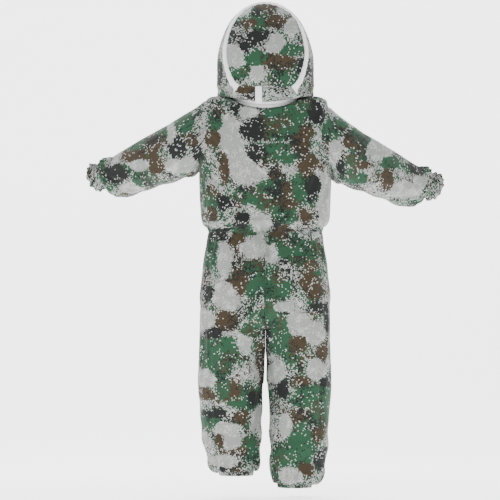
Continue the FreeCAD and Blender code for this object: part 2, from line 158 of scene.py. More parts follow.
# ---------------------------------------------------------------- sheets of cloth
class Sheet:
    """A grid of cloth: points by row and column, with cloth coordinates in metres along both."""

    def __init__(self, name, points, closed):
        self.name, self.points, self.closed = name, points, closed
        rows, cols = points.shape[:2]
        self.rows, self.cols = rows, cols
        self.hold = np.zeros((rows, cols))
        self.drop = np.zeros((rows, cols), bool)
        across = np.linalg.norm(np.diff(points, axis=1), axis=2)
        along = np.linalg.norm(np.diff(points, axis=0), axis=2)
        self.middle_column = cols // 2
        self.row_at = np.concatenate([[0], np.cumsum(np.median(along, axis=1))])

    def across(self):
        """How far each point is along its row from the middle column, as the cloth would be cut."""
        p = np.concatenate([self.points, self.points[:, :1]], axis=1) if self.closed else self.points
        steps = np.linalg.norm(np.diff(p, axis=1), axis=2)
        far = np.concatenate([np.zeros((self.rows, 1)), np.cumsum(steps, axis=1)], axis=1)
        return far - far[:, [self.middle_column]]

    def normals(self):
        p = self.points
        if self.closed:
            du = np.roll(p, -1, 1) - np.roll(p, 1, 1)
        else:
            du = np.gradient(p, axis=1)
        n = np.cross(du, np.gradient(p, axis=0))
        n = unit(n + 1e-12)
        middle = p.mean(axis=1, keepdims=True)
        if ((p - middle) * n).sum(axis=2).mean() < 0:
            n = -n
        return n

    def push(self, amount):
        """Moves every point out along the cloth's normal."""
        self.points = self.points + self.normals() * amount[..., None]

    def faces(self):
        """Quads as rows of four point numbers, with the column and row of each corner."""
        cells = []
        last = self.cols if self.closed else self.cols - 1
        for r in range(self.rows - 1):
            for c in range(last):
                d = (c + 1) % self.cols
                if self.drop[r, c] or self.drop[r, d] or self.drop[r + 1, c] or self.drop[r + 1, d]:
                    continue
                cells.append(((r, c), (r, c + 1), (r + 1, c + 1), (r + 1, c)))
        return cells


def bodice_sheet():
    """The bodice in one ring, from the middle of the front round, and from the waist to the neckline."""
    tree = tree_of("back_bodice_panel", "left_front_bodice_panel", "right_front_bodice_panel")
    cols = 220
    low = int((CHEST_Z - WAIST_Z) / STEP)
    top = 30
    angle = -math.pi / 2 + 2 * math.pi * np.arange(cols) / cols
    flat = np.stack([np.cos(angle), np.sin(angle), 0 * angle], axis=1)
    neck = np.array([neck_point(a, NECK_R + 0.001, -0.010) for a in angle])
    origins, ways = [], []
    for r in range(low + top):
        z = min(WAIST_Z + r * (CHEST_Z - WAIST_Z) / low, CHEST_Z)
        centre = np.array([0, 0, z])
        turn = max(0, r - low) / (top - 1)
        ways.append(unit(flat * (1 - turn) + unit(neck - centre) * turn))
        origins.append(np.tile(centre, (cols, 1)))
    origins, ways = np.array(origins), np.array(ways)
    sheet = Sheet("bodice", shoot(tree, origins, ways, True), True)
    for _ in range(8):
        p = sheet.points
        beside = (np.roll(p, 1, axis=1) + np.roll(p, -1, axis=1))[low + 4:-1]
        p[low + 4:-1] = p[low + 4:-1] * 0.4 + (beside + p[low + 3:-2] + p[low + 5:]) * 0.15
    near = smooth((np.arange(low + top) - low - top * 0.45) / (top * 0.5))[:, None]
    sheet.points[..., 2] -= near * NECK_SAG * np.maximum(0, np.sin(angle))[None, :] ** 1.5
    sheet.points[-1] = [neck_point(a, NECK_R - 0.0016, -0.007) for a in angle]
    sheet.points[-2] = [neck_point(a, NECK_R + 0.0002, -0.0125) for a in angle]
    sheet.angle = np.tile(angle, (sheet.rows, 1))
    sheet.turns = low
    sheet.seams = [round(a * cols / 360) for a in (108, 252)]
    return sheet


def sleeve_sheet(side, k, bodice_tree):
    """One sleeve from the armhole seam to the wrist, in rings that start under the arm."""
    tree = tree_of(*(f"{side}_{part}" for part in ("sleeve_head", "upper_sleeve", "elbow", "lower_sleeve")))
    cols = 120
    wrist, along = np.array(MOUNTS[f"{side}_wrist"]["pos_m"]), np.array(MOUNTS[f"{side}_wrist"]["axis"])
    half_cuff = MOUNTS[f"{side}_wrist"]["dims"]["length_mm"] / 2000
    up = unit(np.array([0, 0, 1]) - along * along[2])
    fore = np.cross(along, up) * k
    if fore[1] > 0:
        fore = -fore
    angle = 2 * math.pi * np.arange(cols) / cols
    ring = -np.outer(np.cos(angle), up) + np.outer(np.sin(angle), fore)
    end = wrist - along * half_cuff
    start = end + along * (k * 0.305 - end[0]) / along[0]
    count = int(np.linalg.norm(end - start) / STEP)
    origins = np.array([np.tile(start + (end - start) * r / count, (cols, 1)) for r in range(count + 1)])
    ways = np.tile(ring, (count + 1, 1, 1))
    origins[-1] = origins[-1] - along * 0.0005
    tube = shoot(tree, origins, ways, True)
    hole = np.array([k * 0.226, -0.004, start[2] + 0.030])
    seam = []
    for a in angle:
        goal = Vector((k * 0.32, hole[1] - 0.090 * math.sin(a), hole[2] - 0.114 * math.cos(a)))
        place = bodice_tree.ray_cast(goal, Vector((-k, 0, 0)))[0]
        seam.append(place + Vector((k * 0.001, 0, 0)))
    seam = np.array(seam)
    head = 18
    rows = []
    for r in range(head):
        t = r / head
        centre = hole * (1 - t) + start * t
        way = unit((seam - hole) * (1 - t) + (tube[0] - start) * t)
        reach = (np.linalg.norm(seam - hole, axis=1) * (1 - t) + np.linalg.norm(tube[0] - start, axis=1) * t)
        crown = 0.006 * math.sin(math.pi * t)
        rows.append(centre + way * (reach + crown)[:, None])
    sheet = Sheet(f"{side}_sleeve", np.concatenate([np.array(rows), tube]), True)
    sheet.angle = np.tile(angle, (sheet.rows, 1))
    sheet.hole, sheet.along = hole, along
    return sheet


def trouser_sheet(side, k):
    """One half of the trousers, from the back seam round the outside of the leg to the front seam."""
    parts = ("back_seat_panel", "front_seat_panel", "hip_sleeve", "thigh", "knee", "lower_leg")
    tree = tree_of(*(f"{side}_{part}" for part in parts))
    both = tree_of(*(f"{s}_{part}" for s, _ in SIDES for part in parts[:2]))
    cols = 121
    hem = MOUNTS[f"{side}_ankle"]["pos_m"][2] + MOUNTS[f"{side}_ankle"]["dims"]["length_mm"] / 2000
    foot_x = abs(MOUNTS[f"{side}_ankle"]["pos_m"][0])
    top = WAIST_Z - 0.0004
    rows = int((top - hem) / STEP)
    origins, ways, ends = [], [], []
    for r in range(rows + 1):
        z = top + (hem + 0.0006 - top) * r / rows
        into = smooth(np.array((-0.52 - z) / 0.30))
        x = 0.121 * into + (foot_x - 0.121) * smooth(np.array((-1.12 - z) / 0.16))
        edges = []
        for way in (1, -1):
            if z > CROTCH_Z:
                deep = min(SEAT_ROUND_Z, z)
                sunk = max(0, (SEAT_ROUND_Z - z) / (SEAT_ROUND_Z - CROTCH_Z))
                round_off = math.sqrt(max(0, 1 - sunk ** 2))
                hit = both.ray_cast(Vector((0.012 * k, 0, deep)), Vector((0, way, 0)))
                edges.append((hit[3] + CAD_WALL) * round_off)
            else:
                edges.append(0.0)
        back = math.atan2(edges[0], -x)
        front = math.atan2(edges[1], -x)
        share = np.linspace(0, 1, cols)
        angle = np.where(share < 0.5, back * (1 - 2 * share), -front * (2 * share - 1))
        ways.append(np.stack([k * np.cos(angle), np.sin(angle), 0 * angle], axis=1))
        origins.append(np.tile([k * x, 0, z], (cols, 1)))
        ends.append((z, edges))
    origins, ways = np.array(origins), np.array(ways)
    sheet = Sheet(f"{side}_trousers", shoot(tree, origins, ways, False), False)
    for r, (z, edges) in enumerate(ends):
        for column, way in ((0, 1), (-1, -1)):
            if z > CROTCH_Z:
                sheet.points[r, column] = (0, way * edges[0 if way > 0 else 1], z)
            else:
                sheet.points[r, column] = (k * 0.004, 0, z) if z > -1.0 else sheet.points[r, column]
    sheet.closed_below = [z <= CROTCH_Z for z, _ in ends]
    for r, below in enumerate(sheet.closed_below):
        if below:
            mid = (sheet.points[r, 0] + sheet.points[r, -1]) / 2
            sheet.points[r, 0] = sheet.points[r, -1] = mid
    sheet.angle = np.tile(np.linspace(0, 2 * math.pi, cols), (sheet.rows, 1))
    sheet.side_seam = round(0.36 * (cols - 1))
    return sheet


def shape_the_cloth(bodice, sleeves, trousers):
    """Folds that the elastic, the blousing and the weight of the cloth make, before the simulation."""
    above = bodice.row_at[:, None] + 0 * bodice.angle
    blouse = 0.005 * np.exp(-((above - 0.045) / 0.032) ** 2)
    gather = 0.0042 * waves(bodice.angle, 34, 5) * np.exp(-above / 0.040) * smooth(above / 0.010)
    bodice.push(blouse + gather)
    for i, sheet in enumerate(sleeves):
        left = sheet.row_at[-1] - sheet.row_at[:, None] + 0 * sheet.angle
        puff = 0.012 * np.exp(-((left - 0.026) / 0.024) ** 2)
        low = np.maximum(0, np.cos(sheet.angle))
        puff = puff + 0.013 * np.exp(-((left - 0.070) / 0.070) ** 2) * low
        tight = 0.0060 * waves(sheet.angle, 20, 11 + i) * np.exp(-left / 0.040) * smooth(left / 0.012)
        start = sheet.row_at[:, None] + 0 * sheet.angle
        head = 0.0022 * waves(sheet.angle, 13, 21 + i) * np.exp(-start / 0.03) * smooth(start / 0.012)
        slope = sheet.row_at[:, None] * 60 + 2.2 * np.cos(sheet.angle + i) + 3 * i
        drape = 0.0024 * np.sin(slope) * smooth((left - 0.03) / 0.08) * smooth(start / 0.10)
        drape = drape * (0.55 + 0.45 * np.cos(sheet.angle))
        sheet.push(puff + tight + head + drape)
        weight = (0.013, 0.018)[i] * smooth(start / 0.10) * smooth(left / 0.06)
        sheet.points[..., 2] -= weight
    for i, sheet in enumerate(trousers):
        below = sheet.row_at[:, None] + 0 * sheet.angle
        left = sheet.row_at[-1] - below
        gather = 0.0042 * waves(sheet.angle, 17, 31 + i) * np.exp(-below / 0.050) * smooth(below / 0.008)
        puff = 0.003 * np.exp(-((left - 0.040) / 0.030) ** 2)
        tight = 0.0060 * waves(sheet.angle, 26, 41 + i) * np.exp(-left / 0.045) * smooth(left / 0.012)
        stack = 0.0032 * np.sin(left * 62 + 2.6 * np.sin(sheet.angle + 2.1 * i) + i)
        stack = stack * np.exp(-((left - 0.13) / 0.08) ** 2)
        knee = 0.0022 * np.sin(left * 30 + 2.9 * np.sin(sheet.angle * 1.0 + 1 + i))
        knee = knee * np.exp(-((left - 0.30) / 0.12) ** 2)
        sheet.push(gather + puff + tight + stack + knee)
        over_casing = smooth(left / 0.016) * np.exp(-(np.maximum(0, left - 0.02) / 0.045) ** 2)
        sheet.points[..., 2] -= 0.021 * over_casing
        for r, closed in enumerate(sheet.closed_below):
            if closed:
                mid = (sheet.points[r, 0] + sheet.points[r, -1]) / 2
                sheet.points[r, 0] = sheet.points[r, -1] = mid
            else:
                sheet.points[r, 0, 0] = sheet.points[r, -1, 0] = 0


def meet_inner_legs(trousers):
    """Below the crotch the two legs lie against each other for a while."""
    for sheet in trousers:
        inner = np.abs(sheet.points[..., 0])
        join = smooth((sheet.points[..., 2] + 0.935) / 0.05) * smooth((0.036 - inner) / 0.016)
        sheet.points[..., 0] *= 1 - join * (1 - 0.0008 / np.maximum(inner, 0.0008))


def simulate(sheets):
    """Lets all the cloth grow a little and settle, held where it is sewn to something tight."""
    points = np.concatenate([s.points.reshape(-1, 3) for s in sheets])
    held = np.concatenate([s.hold.reshape(-1) for s in sheets])
    faces, start = [], 0
    for s in sheets:
        for cell in s.faces():
            faces.append([start + r * s.cols + c % s.cols for r, c in cell])
        start += s.rows * s.cols
    mesh = bpy.data.meshes.new("cloth_sim")
    mesh.from_pydata(points.tolist(), [], faces)
    piece = bpy.data.objects.new("cloth_sim", mesh)
    bpy.context.scene.collection.objects.link(piece)
    group = piece.vertex_groups.new(name="held")
    for level in (1.0, 0.5):
        group.add(np.nonzero(np.isclose(held, level))[0].tolist(), level, "REPLACE")
    cloth = piece.modifiers.new("Cloth", "CLOTH")
    cloth.settings.vertex_group_mass = "held"
    cloth.settings.quality = 5
    cloth.settings.mass = 0.2
    cloth.settings.tension_stiffness = 18
    cloth.settings.compression_stiffness = 18
    cloth.settings.shear_stiffness = 6
    cloth.settings.bending_stiffness = 0.35
    cloth.settings.air_damping = 3
    cloth.settings.shrink_min = -0.040
    cloth.settings.use_pressure = True
    cloth.settings.uniform_pressure_force = 0.6
    cloth.settings.effector_weights.gravity = 0.35
    cloth.collision_settings.use_collision = False
    cloth.collision_settings.use_self_collision = False
    cloth.point_cache.frame_start, cloth.point_cache.frame_end = 1, SIM_FRAMES
    for number in range(1, SIM_FRAMES + 1):
        bpy.context.scene.frame_set(number)
    baked = piece.evaluated_get(bpy.context.evaluated_depsgraph_get())
    moved = np.empty(len(points) * 3)
    baked.data.vertices.foreach_get("co", moved)
    moved = moved.reshape(-1, 3) - points
    bpy.context.scene.frame_set(1)
    bpy.data.objects.remove(piece)
    far = np.linalg.norm(moved, axis=1, keepdims=True) + 1e-9
    points = points + moved / far * SIM_REACH * np.tanh(far / SIM_REACH)
    start = 0
    for s in sheets:
        count = s.rows * s.cols
        s.points = points[start:start + count].reshape(s.rows, s.cols, 3)
        start += count


class Cloth:
    """A sheet after smoothing: plain arrays of points, quads, cloth coordinates, normals and grid places."""

    def __init__(self, sheet, level=1, centre=None):
        cells = sheet.faces()
        mesh = bpy.data.meshes.new(sheet.name)
        faces = [[r * sheet.cols + c % sheet.cols for r, c in cell] for cell in cells]
        mesh.from_pydata(sheet.points.reshape(-1, 3).tolist(), [], faces)
        places = np.array(cells, float).reshape(-1, 2)
        layer = mesh.uv_layers.new(name="grid")
        layer.data.foreach_set("uv", places[:, ::-1].ravel())
        piece = bpy.data.objects.new(sheet.name, mesh)
        bpy.context.scene.collection.objects.link(piece)
        if level:
            finer = piece.modifiers.new("finer", "SUBSURF")
            finer.levels = level
            finer.uv_smooth = "NONE"
            finer.boundary_smooth = "PRESERVE_CORNERS"
        done = bpy.data.meshes.new_from_object(piece.evaluated_get(bpy.context.evaluated_depsgraph_get()))
        bpy.data.objects.remove(piece)
        self.points = np.empty(len(done.vertices) * 3)
        done.vertices.foreach_get("co", self.points)
        self.points = self.points.reshape(-1, 3)
        self.quads = np.empty(len(done.loops), int)
        done.loops.foreach_get("vertex_index", self.quads)
        self.quads = self.quads.reshape(-1, 4)
        place = np.empty(len(done.loops) * 2)
        done.uv_layers[0].data.foreach_get("uv", place)
        self.place = place.reshape(-1, 4, 2)
        table = sheet.across()
        column, row = self.place[..., 0], self.place[..., 1]
        c = np.clip(column.astype(int), 0, table.shape[1] - 2)
        r = np.clip(row.astype(int), 0, sheet.rows - 2)
        dc, dr = column - c, row - r
        low = table[r, c] * (1 - dc) + table[r, c + 1] * dc
        high = table[r + 1, c] * (1 - dc) + table[r + 1, c + 1] * dc
        along = np.interp(row, np.arange(sheet.rows), sheet.row_at)
        self.uv = np.stack([low * (1 - dr) + high * dr, along], axis=2)
        self.sheet, self.centre = sheet, centre
        bpy.data.meshes.remove(done)
        self.normals = self.point_normals()

    def point_normals(self):
        """Normals at the points, with the quads turned so that they face away from the centre."""
        p, q = self.points, self.quads
        face = np.cross(p[q[:, 2]] - p[q[:, 0]], p[q[:, 3]] - p[q[:, 1]])
        total = np.zeros_like(p)
        for corner in range(4):
            np.add.at(total, q[:, corner], face)
        n = unit(total + 1e-15)
        centre = p.mean(axis=0) if self.centre is None else np.array(self.centre)
        if ((p - centre) * n).sum(axis=1).mean() < 0:
            self.quads = self.quads[:, ::-1].copy()
            self.uv = self.uv[:, ::-1].copy()
            self.place = self.place[:, ::-1].copy()
            n = -n
        return n

    def middles(self):
        """The middle of each quad."""
        return self.points[self.quads].mean(axis=1)

    def line(self, keep, column=None, row=None):
        """The points and normals along one column or row, in order, where a piece has them."""
        place, quads = self.place[keep], self.quads[keep]
        axis, value = (0, column) if row is None else (1, row)
        on = np.abs(place[..., axis] - value) < 0.01
        _, first = np.unique(quads[on], return_index=True)
        order = np.argsort(place[on][first][:, 1 - axis])
        found = quads[on][first][order]
        return self.points[found], self.normals[found]


def stitches(line, normals, length=0.0030, gap=0.0014, radius=0.00034, lift=0.0002):
    """Sewing stitches along a line: small pointed grains of thread, as points and faces."""
    far = np.concatenate([[0], np.cumsum(np.linalg.norm(np.diff(line, axis=0), axis=1))])
    at = np.arange(gap, far[-1] - length, length + gap)

    def along(table, where):
        return np.stack([np.interp(where, far, table[:, i]) for i in range(3)], axis=1)

    n = unit(along(normals, at + length / 2))
    a, b = along(line, at) + n * lift, along(line, at + length) + n * lift
    side = unit(np.cross(b - a, n) + 1e-12) * radius
    mid = (a + b) / 2
    points = np.stack([a, b, mid + side, mid - side, mid + n * radius * 1.4], axis=1).reshape(-1, 3)
    start = np.arange(len(at))[:, None, None] * 5
    faces = np.array([(0, 2, 4), (0, 4, 3), (1, 4, 2), (1, 3, 4), (0, 3, 2), (1, 2, 3)])[None] + start
    return points, faces.reshape(-1, 3)


def thick_piece(name, cloth, keep, material, offset=(0, 0), turn=0.0, thickness=CLOTH, seams=()):
    """A closed piece of cloth from some of the quads, with shading that runs on over its cut edges.

    seams are the lines of topstitching on it, each as its points and normals.
    """
    quads, uv = cloth.quads[keep], cloth.uv[keep]
    used, inverse = np.unique(quads, return_inverse=True)
    quads = inverse.reshape(-1, 4)
    points, normals = cloth.points[used], cloth.normals[used]
    count = len(points)
    under = points - normals * thickness
    edges = np.concatenate([quads[:, [i, (i + 1) % 4]] for i in range(4)])
    edge_uv = np.concatenate([uv[:, [i, (i + 1) % 4]] for i in range(4)])
    key = np.sort(edges, axis=1)
    _, first, times = np.unique(key, axis=0, return_index=True, return_counts=True)
    rim = first[times == 1]
    a, b = edges[rim, 0], edges[rim, 1]
    sides = np.stack([b, a, a + count, b + count], axis=1)
    side_uv = np.stack([edge_uv[rim, 1], edge_uv[rim, 0], edge_uv[rim, 0], edge_uv[rim, 1]], axis=1)
    faces = np.concatenate([quads, quads[:, ::-1] + count, sides])
    uvs = np.concatenate([uv, uv[:, ::-1], side_uv])
    solid = np.concatenate([points, under])
    cloth_faces = len(faces)
    faces = faces.tolist()
    thread_points, thread_shade = [], []
    begin = len(solid)
    for line, line_normals in seams:
        if len(line) < 3:
            continue
        p, f = stitches(line, line_normals)
        thread_points.append(p)
        faces += (f + begin).tolist()
        begin += len(p)
        face_way = unit(np.cross(p[f[:, 1]] - p[f[:, 0]], p[f[:, 2]] - p[f[:, 0]]) + 1e-15)
        thread_shade.append(np.repeat(face_way, 3, axis=0))
    solid = np.concatenate([solid] + thread_points)
    mesh = bpy.data.meshes.new(name)
    mesh.from_pydata(solid.tolist(), [], faces)
    c, s = math.cos(turn), math.sin(turn)
    flat = uvs.reshape(-1, 2)
    flat = np.stack([flat[:, 0] * c - flat[:, 1] * s, flat[:, 0] * s + flat[:, 1] * c], axis=1) + offset
    loose = np.zeros((len(mesh.loops) - len(flat), 2))
    mesh.uv_layers.new(name="cloth").data.foreach_set("uv", np.concatenate([flat, loose]).ravel())
    mesh.polygons.foreach_set("use_smooth", [True] * len(mesh.polygons))
    outward = np.cross(points[b] - points[a], normals[a])
    outward = unit(outward + 1e-15)
    edge_shade = np.repeat(outward[:, None], 4, axis=1)
    shade = np.concatenate([normals[quads], -normals[quads[:, ::-1]], edge_shade])
    mesh.normals_split_custom_set(np.concatenate([shade.reshape(-1, 3)] + thread_shade).tolist())
    paint_patches(mesh, solid)
    mesh.materials.append(material)
    mesh.materials.append(thread)
    mesh.polygons.foreach_set("material_index", (np.arange(len(mesh.polygons)) >= cloth_faces).astype(int))
    piece = bpy.data.objects.new(name, mesh)
    bpy.context.scene.collection.objects.link(piece)
    return piece


# ---------------------------------------------------------------- materials
class Nodes:
    """A short way to write a material's nodes."""

    def __init__(self, name):
        self.material = bpy.data.materials.new(name)
        self.material.use_nodes = True
        self.tree = self.material.node_tree
        self.shader = self.tree.nodes["Principled BSDF"]

    def add(self, kind, **values):
        node = self.tree.nodes.new(kind)
        for key, value in values.items():
            setattr(node, key, value)
        return node

    def join(self, source, target):
        self.tree.links.new(source, target)

    def math(self, operation, a, b=0.0, c=None):
        node = self.add("ShaderNodeMath", operation=operation)
        for socket, value in zip(node.inputs, (a, b, c)):
            if isinstance(value, (int, float)):
                socket.default_value = value
            elif value is not None:
                self.join(value, socket)
        return node.outputs[0]

    def vector(self, operation, a, b):
        node = self.add("ShaderNodeVectorMath", operation=operation)
        for socket, value in zip(node.inputs, (a, b)):
            if isinstance(value, tuple):
                socket.default_value = value
            else:
                self.join(value, socket)
        return node.outputs[0]

    def mix(self, factor, a, b):
        node = self.add("ShaderNodeMix", data_type="RGBA")
        for socket, value in ((node.inputs[0], factor), (node.inputs[6], a), (node.inputs[7], b)):
            if isinstance(value, (tuple, float)):
                socket.default_value = value
            else:
                self.join(value, socket)
        return node.outputs[2]

    def noise(self, vector, scale, detail=2.0, roughness=0.5):
        node = self.add("ShaderNodeTexNoise")
        self.join(vector, node.inputs["Vector"])
        node.inputs["Scale"].default_value = scale
        node.inputs["Detail"].default_value = detail
        node.inputs["Roughness"].default_value = roughness
        return node.outputs[0]

    def bump(self, height, strength, distance, under=None):
        node = self.add("ShaderNodeBump")
        node.inputs["Strength"].default_value = strength
        node.inputs["Distance"].default_value = distance
        self.join(height, node.inputs["Height"])
        if under is not None:
            self.join(under, node.inputs["Normal"])
        return node.outputs[0]

    def finish(self, colour=None, normal=None, rough=None, **plain):
        if colour is not None:
            self.join(colour, self.shader.inputs["Base Color"])
        if normal is not None:
            self.join(normal, self.shader.inputs["Normal"])
        if rough is not None:
            self.join(rough, self.shader.inputs["Roughness"])
        for key, value in plain.items():
            self.shader.inputs[key.replace("_", " ")].default_value = value
        return self.material


CELL = 0.0036                # the print's square
GREY = (0.242, 0.251, 0.239, 1)
PALE = (0.378, 0.387, 0.365, 1)
GREEN = (0.0135, 0.0580, 0.0270, 1)
BROWN = (0.036, 0.0245, 0.0115, 1)
BLACK = (0.0060, 0.0080, 0.0072, 1)
INKS = ("green", "brown", "black")


def twill(n, uv, pitch=0.00075):
    """Height of a fine diagonal weave from cloth coordinates."""
    parts = n.add("ShaderNodeSeparateXYZ")
    n.join(uv, parts.inputs[0])
    diagonal = n.math("ADD", parts.outputs[0], parts.outputs[1])
    rib = n.math("SINE", n.math("MULTIPLY", diagonal, 2 * math.pi / pitch))
    weft = n.math("SINE", n.math("MULTIPLY", parts.outputs[0], 2 * math.pi / (pitch * 0.6)))
    return n.math("ADD", rib, n.math("MULTIPLY", weft, 0.35))


def camouflage_cloth():
    """Printed twill: square-edged blobs of green, brown and near-black on grey, with loose squares."""
    n = Nodes("camouflage_cloth")
    uv = n.add("ShaderNodeUVMap", uv_map="cloth").outputs[0]
    square = n.vector("SNAP", uv, (CELL, CELL, 1.0))
    square = n.vector("ADD", square, (CELL / 2, CELL / 2, 0.0))
    colour = GREY
    draws = {}
    for seed, ink in enumerate(("pale",) + INKS):
        shifted = n.vector("ADD", square, (3.1 * seed, 7.7 * seed, 0.0))
        speck = n.add("ShaderNodeTexWhiteNoise", noise_dimensions="3D")
        n.join(shifted, speck.inputs["Vector"])
        draws[ink] = (shifted, speck.outputs["Value"])
    shifted, speck = draws["pale"]
    soft = n.math("ADD", n.noise(shifted, 30, 2.0), n.math("MULTIPLY", speck, 0.22))
    colour = n.mix(n.math("GREATER_THAN", soft, 0.70), GREY, PALE)
    for ink, paint, scale, limit, ragged in (
            ("green", GREEN, 9.0, 0.505, 0.24),
            ("brown", BROWN, 12.0, 0.575, 0.26),
            ("black", BLACK, 13.0, 0.575, 0.26)):
        shifted, speck = draws[ink]
        large = n.noise(shifted, scale, 2.0, 0.55)
        small = n.noise(shifted, 75, 1.0, 0.5)
        patch = n.add("ShaderNodeAttribute", attribute_name=ink).outputs["Fac"]
        level = n.math("ADD", large, n.math("MULTIPLY", n.math("SUBTRACT", small, 0.5), 0.34))
        level = n.math("ADD", level, n.math("MULTIPLY", n.math("SUBTRACT", speck, 0.5), ragged))
        level = n.math("ADD", level, patch)
        colour = n.mix(n.math("GREATER_THAN", level, limit), colour, paint)
    loose = n.vector("ADD", square, (51.0, 17.0, 0.0))
    speck = n.add("ShaderNodeTexWhiteNoise", noise_dimensions="3D")
    n.join(loose, speck.inputs["Vector"])
    near = n.noise(loose, 26, 1.0)
    chance = n.math("ADD", speck.outputs["Value"], n.math("MULTIPLY", near, 0.55))
    pale_dot = n.math("GREATER_THAN", chance, 1.245)
    colour = n.mix(pale_dot, colour, PALE)
    worn = n.noise(uv, 6, 3.0, 0.6)
    shade = n.add("ShaderNodeHueSaturation")
    n.join(colour, shade.inputs["Color"])
    n.join(n.math("ADD", n.math("MULTIPLY", worn, 0.22), 0.89), shade.inputs["Value"])
    weave = n.bump(twill(n, uv), 0.25, 0.0001)
    crumple = n.math("ADD", n.noise(uv, 22, 3.0, 0.55), n.math("MULTIPLY", n.noise(uv, 90, 2.0), 0.25))
    normal = n.bump(crumple, 0.55, 0.0035, weave)
    rough = n.math("ADD", n.math("MULTIPLY", worn, 0.12), 0.78)
    return n.finish(shade.outputs[0], normal, rough, Sheen_Weight=0.06, Sheen_Roughness=0.5,
                    Specular_IOR_Level=0.28)


def object_coordinates(n):
    return n.add("ShaderNodeTexCoord").outputs["Object"]


def white_tape():
    """Woven white binding: a fine herringbone with a little soiling."""
    n = Nodes("white_tape")
    place = object_coordinates(n)
    parts = n.add("ShaderNodeSeparateXYZ")
    n.join(place, parts.inputs[0])
    across = n.math("ADD", parts.outputs[0], n.math("MULTIPLY", parts.outputs[1], 0.7))
    zigzag = n.math("PINGPONG", across, 0.0016)
    rib = n.math("SINE", n.math("MULTIPLY", n.math("ADD", parts.outputs[2], zigzag), 2 * math.pi / 0.0009))
    normal = n.bump(rib, 0.35, 0.00012)
    dirt = n.noise(place, 34, 4.0, 0.6)
    soiled = n.math("MULTIPLY", n.math("POWER", dirt, 3.0), 0.7)
    colour = n.mix(soiled, (0.83, 0.83, 0.84, 1), (0.55, 0.54, 0.52, 1))
    return n.finish(colour, normal, Roughness=0.78, Sheen_Weight=0.15)


def moulded_teeth():
    n = Nodes("moulded_teeth")
    place = object_coordinates(n)
    tone = n.noise(place, 600, 2.0)
    colour = n.mix(tone, (0.70, 0.70, 0.70, 1), (0.86, 0.86, 0.85, 1))
    normal = n.bump(n.noise(place, 2200, 2.0), 0.15, 0.0001)
    return n.finish(colour, normal, Roughness=0.32, Specular_IOR_Level=0.5)


def plated_metal():
    n = Nodes("plated_metal")
    place = object_coordinates(n)
    scuffs = n.noise(place, 900, 4.0, 0.7)
    rough = n.math("ADD", n.math("MULTIPLY", scuffs, 0.25), 0.12)
    colour = n.mix(n.noise(place, 150, 2.0), (0.60, 0.60, 0.61, 1), (0.76, 0.76, 0.77, 1))
    return n.finish(colour, n.bump(scuffs, 0.12, 0.00005), rough, Metallic=1.0)


def spring_steel():
    n = Nodes("spring_steel")
    place = object_coordinates(n)
    drawn = n.noise(n.vector("MULTIPLY", place, (900.0, 900.0, 60.0)), 1.0, 3.0)
    rough = n.math("ADD", n.math("MULTIPLY", drawn, 0.2), 0.28)
    colour = n.mix(drawn, (0.36, 0.36, 0.37, 1), (0.52, 0.52, 0.53, 1))
    return n.finish(colour, n.bump(drawn, 0.2, 0.00005), rough, Metallic=1.0)


def knitted_elastic():
    n = Nodes("knitted_elastic")
    place = object_coordinates(n)
    parts = n.add("ShaderNodeSeparateXYZ")
    n.join(place, parts.inputs[0])
    rows = n.math("SINE", n.math("MULTIPLY", parts.outputs[2], 2 * math.pi / 0.0022))
    across = n.math("ADD", parts.outputs[0], parts.outputs[1])
    cords = n.math("SINE", n.math("MULTIPLY", across, 2 * math.pi / 0.0014))
    height = n.math("ADD", rows, n.math("MULTIPLY", cords, 0.6))
    # Painted shade: the colour is darker in the knit's grooves and lighter on its ribs, following the bump's
    # height.
    colour = n.mix(n.math("MULTIPLY", height, 0.3), (0.62, 0.62, 0.60, 1), (0.80, 0.80, 0.78, 1))
    return n.finish(colour, n.bump(height, 0.5, 0.0002), Roughness=0.85)


def lining_cloth():
    """The back of the printed cloth, which shows the print faintly, for the casings inside."""
    n = Nodes("lining_cloth")
    place = object_coordinates(n)
    square = n.vector("SNAP", place, (CELL, CELL, CELL))
    blob = n.math("ADD", n.noise(square, 14, 3.0, 0.6), n.math("MULTIPLY", n.noise(square, 80, 1.0), 0.3))
    tone = n.mix(n.math("GREATER_THAN", blob, 0.70), (0.40, 0.41, 0.39, 1), (0.16, 0.22, 0.17, 1))
    parts = n.add("ShaderNodeSeparateXYZ")
    n.join(place, parts.inputs[0])
    across = n.math("ADD", parts.outputs[0], parts.outputs[2])
    rib = n.math("SINE", n.math("MULTIPLY", across, 2 * math.pi / 0.0009))
    return n.finish(tone, n.bump(rib, 0.3, 0.0001), Roughness=0.88)


def veil_thread():
    n = Nodes("veil_thread")
    place = object_coordinates(n)
    twist = n.noise(n.vector("MULTIPLY", place, (1500.0, 1500.0, 1500.0)), 1.0, 2.0)
    colour = n.mix(twist, (0.006, 0.006, 0.007, 1), (0.020, 0.020, 0.021, 1))
    return n.finish(colour, n.bump(twist, 0.3, 0.0001), Roughness=0.55, Sheen_Weight=0.1)


def sewing_thread():
    n = Nodes("sewing_thread")
    place = object_coordinates(n)
    ply = n.noise(n.vector("MULTIPLY", place, (2600.0, 2600.0, 2600.0)), 1.0, 1.0)
    colour = n.mix(ply, (0.06, 0.085, 0.065, 1), (0.12, 0.15, 0.12, 1))
    return n.finish(colour, n.bump(ply, 0.4, 0.0001), Roughness=0.6, Sheen_Weight=0.2)


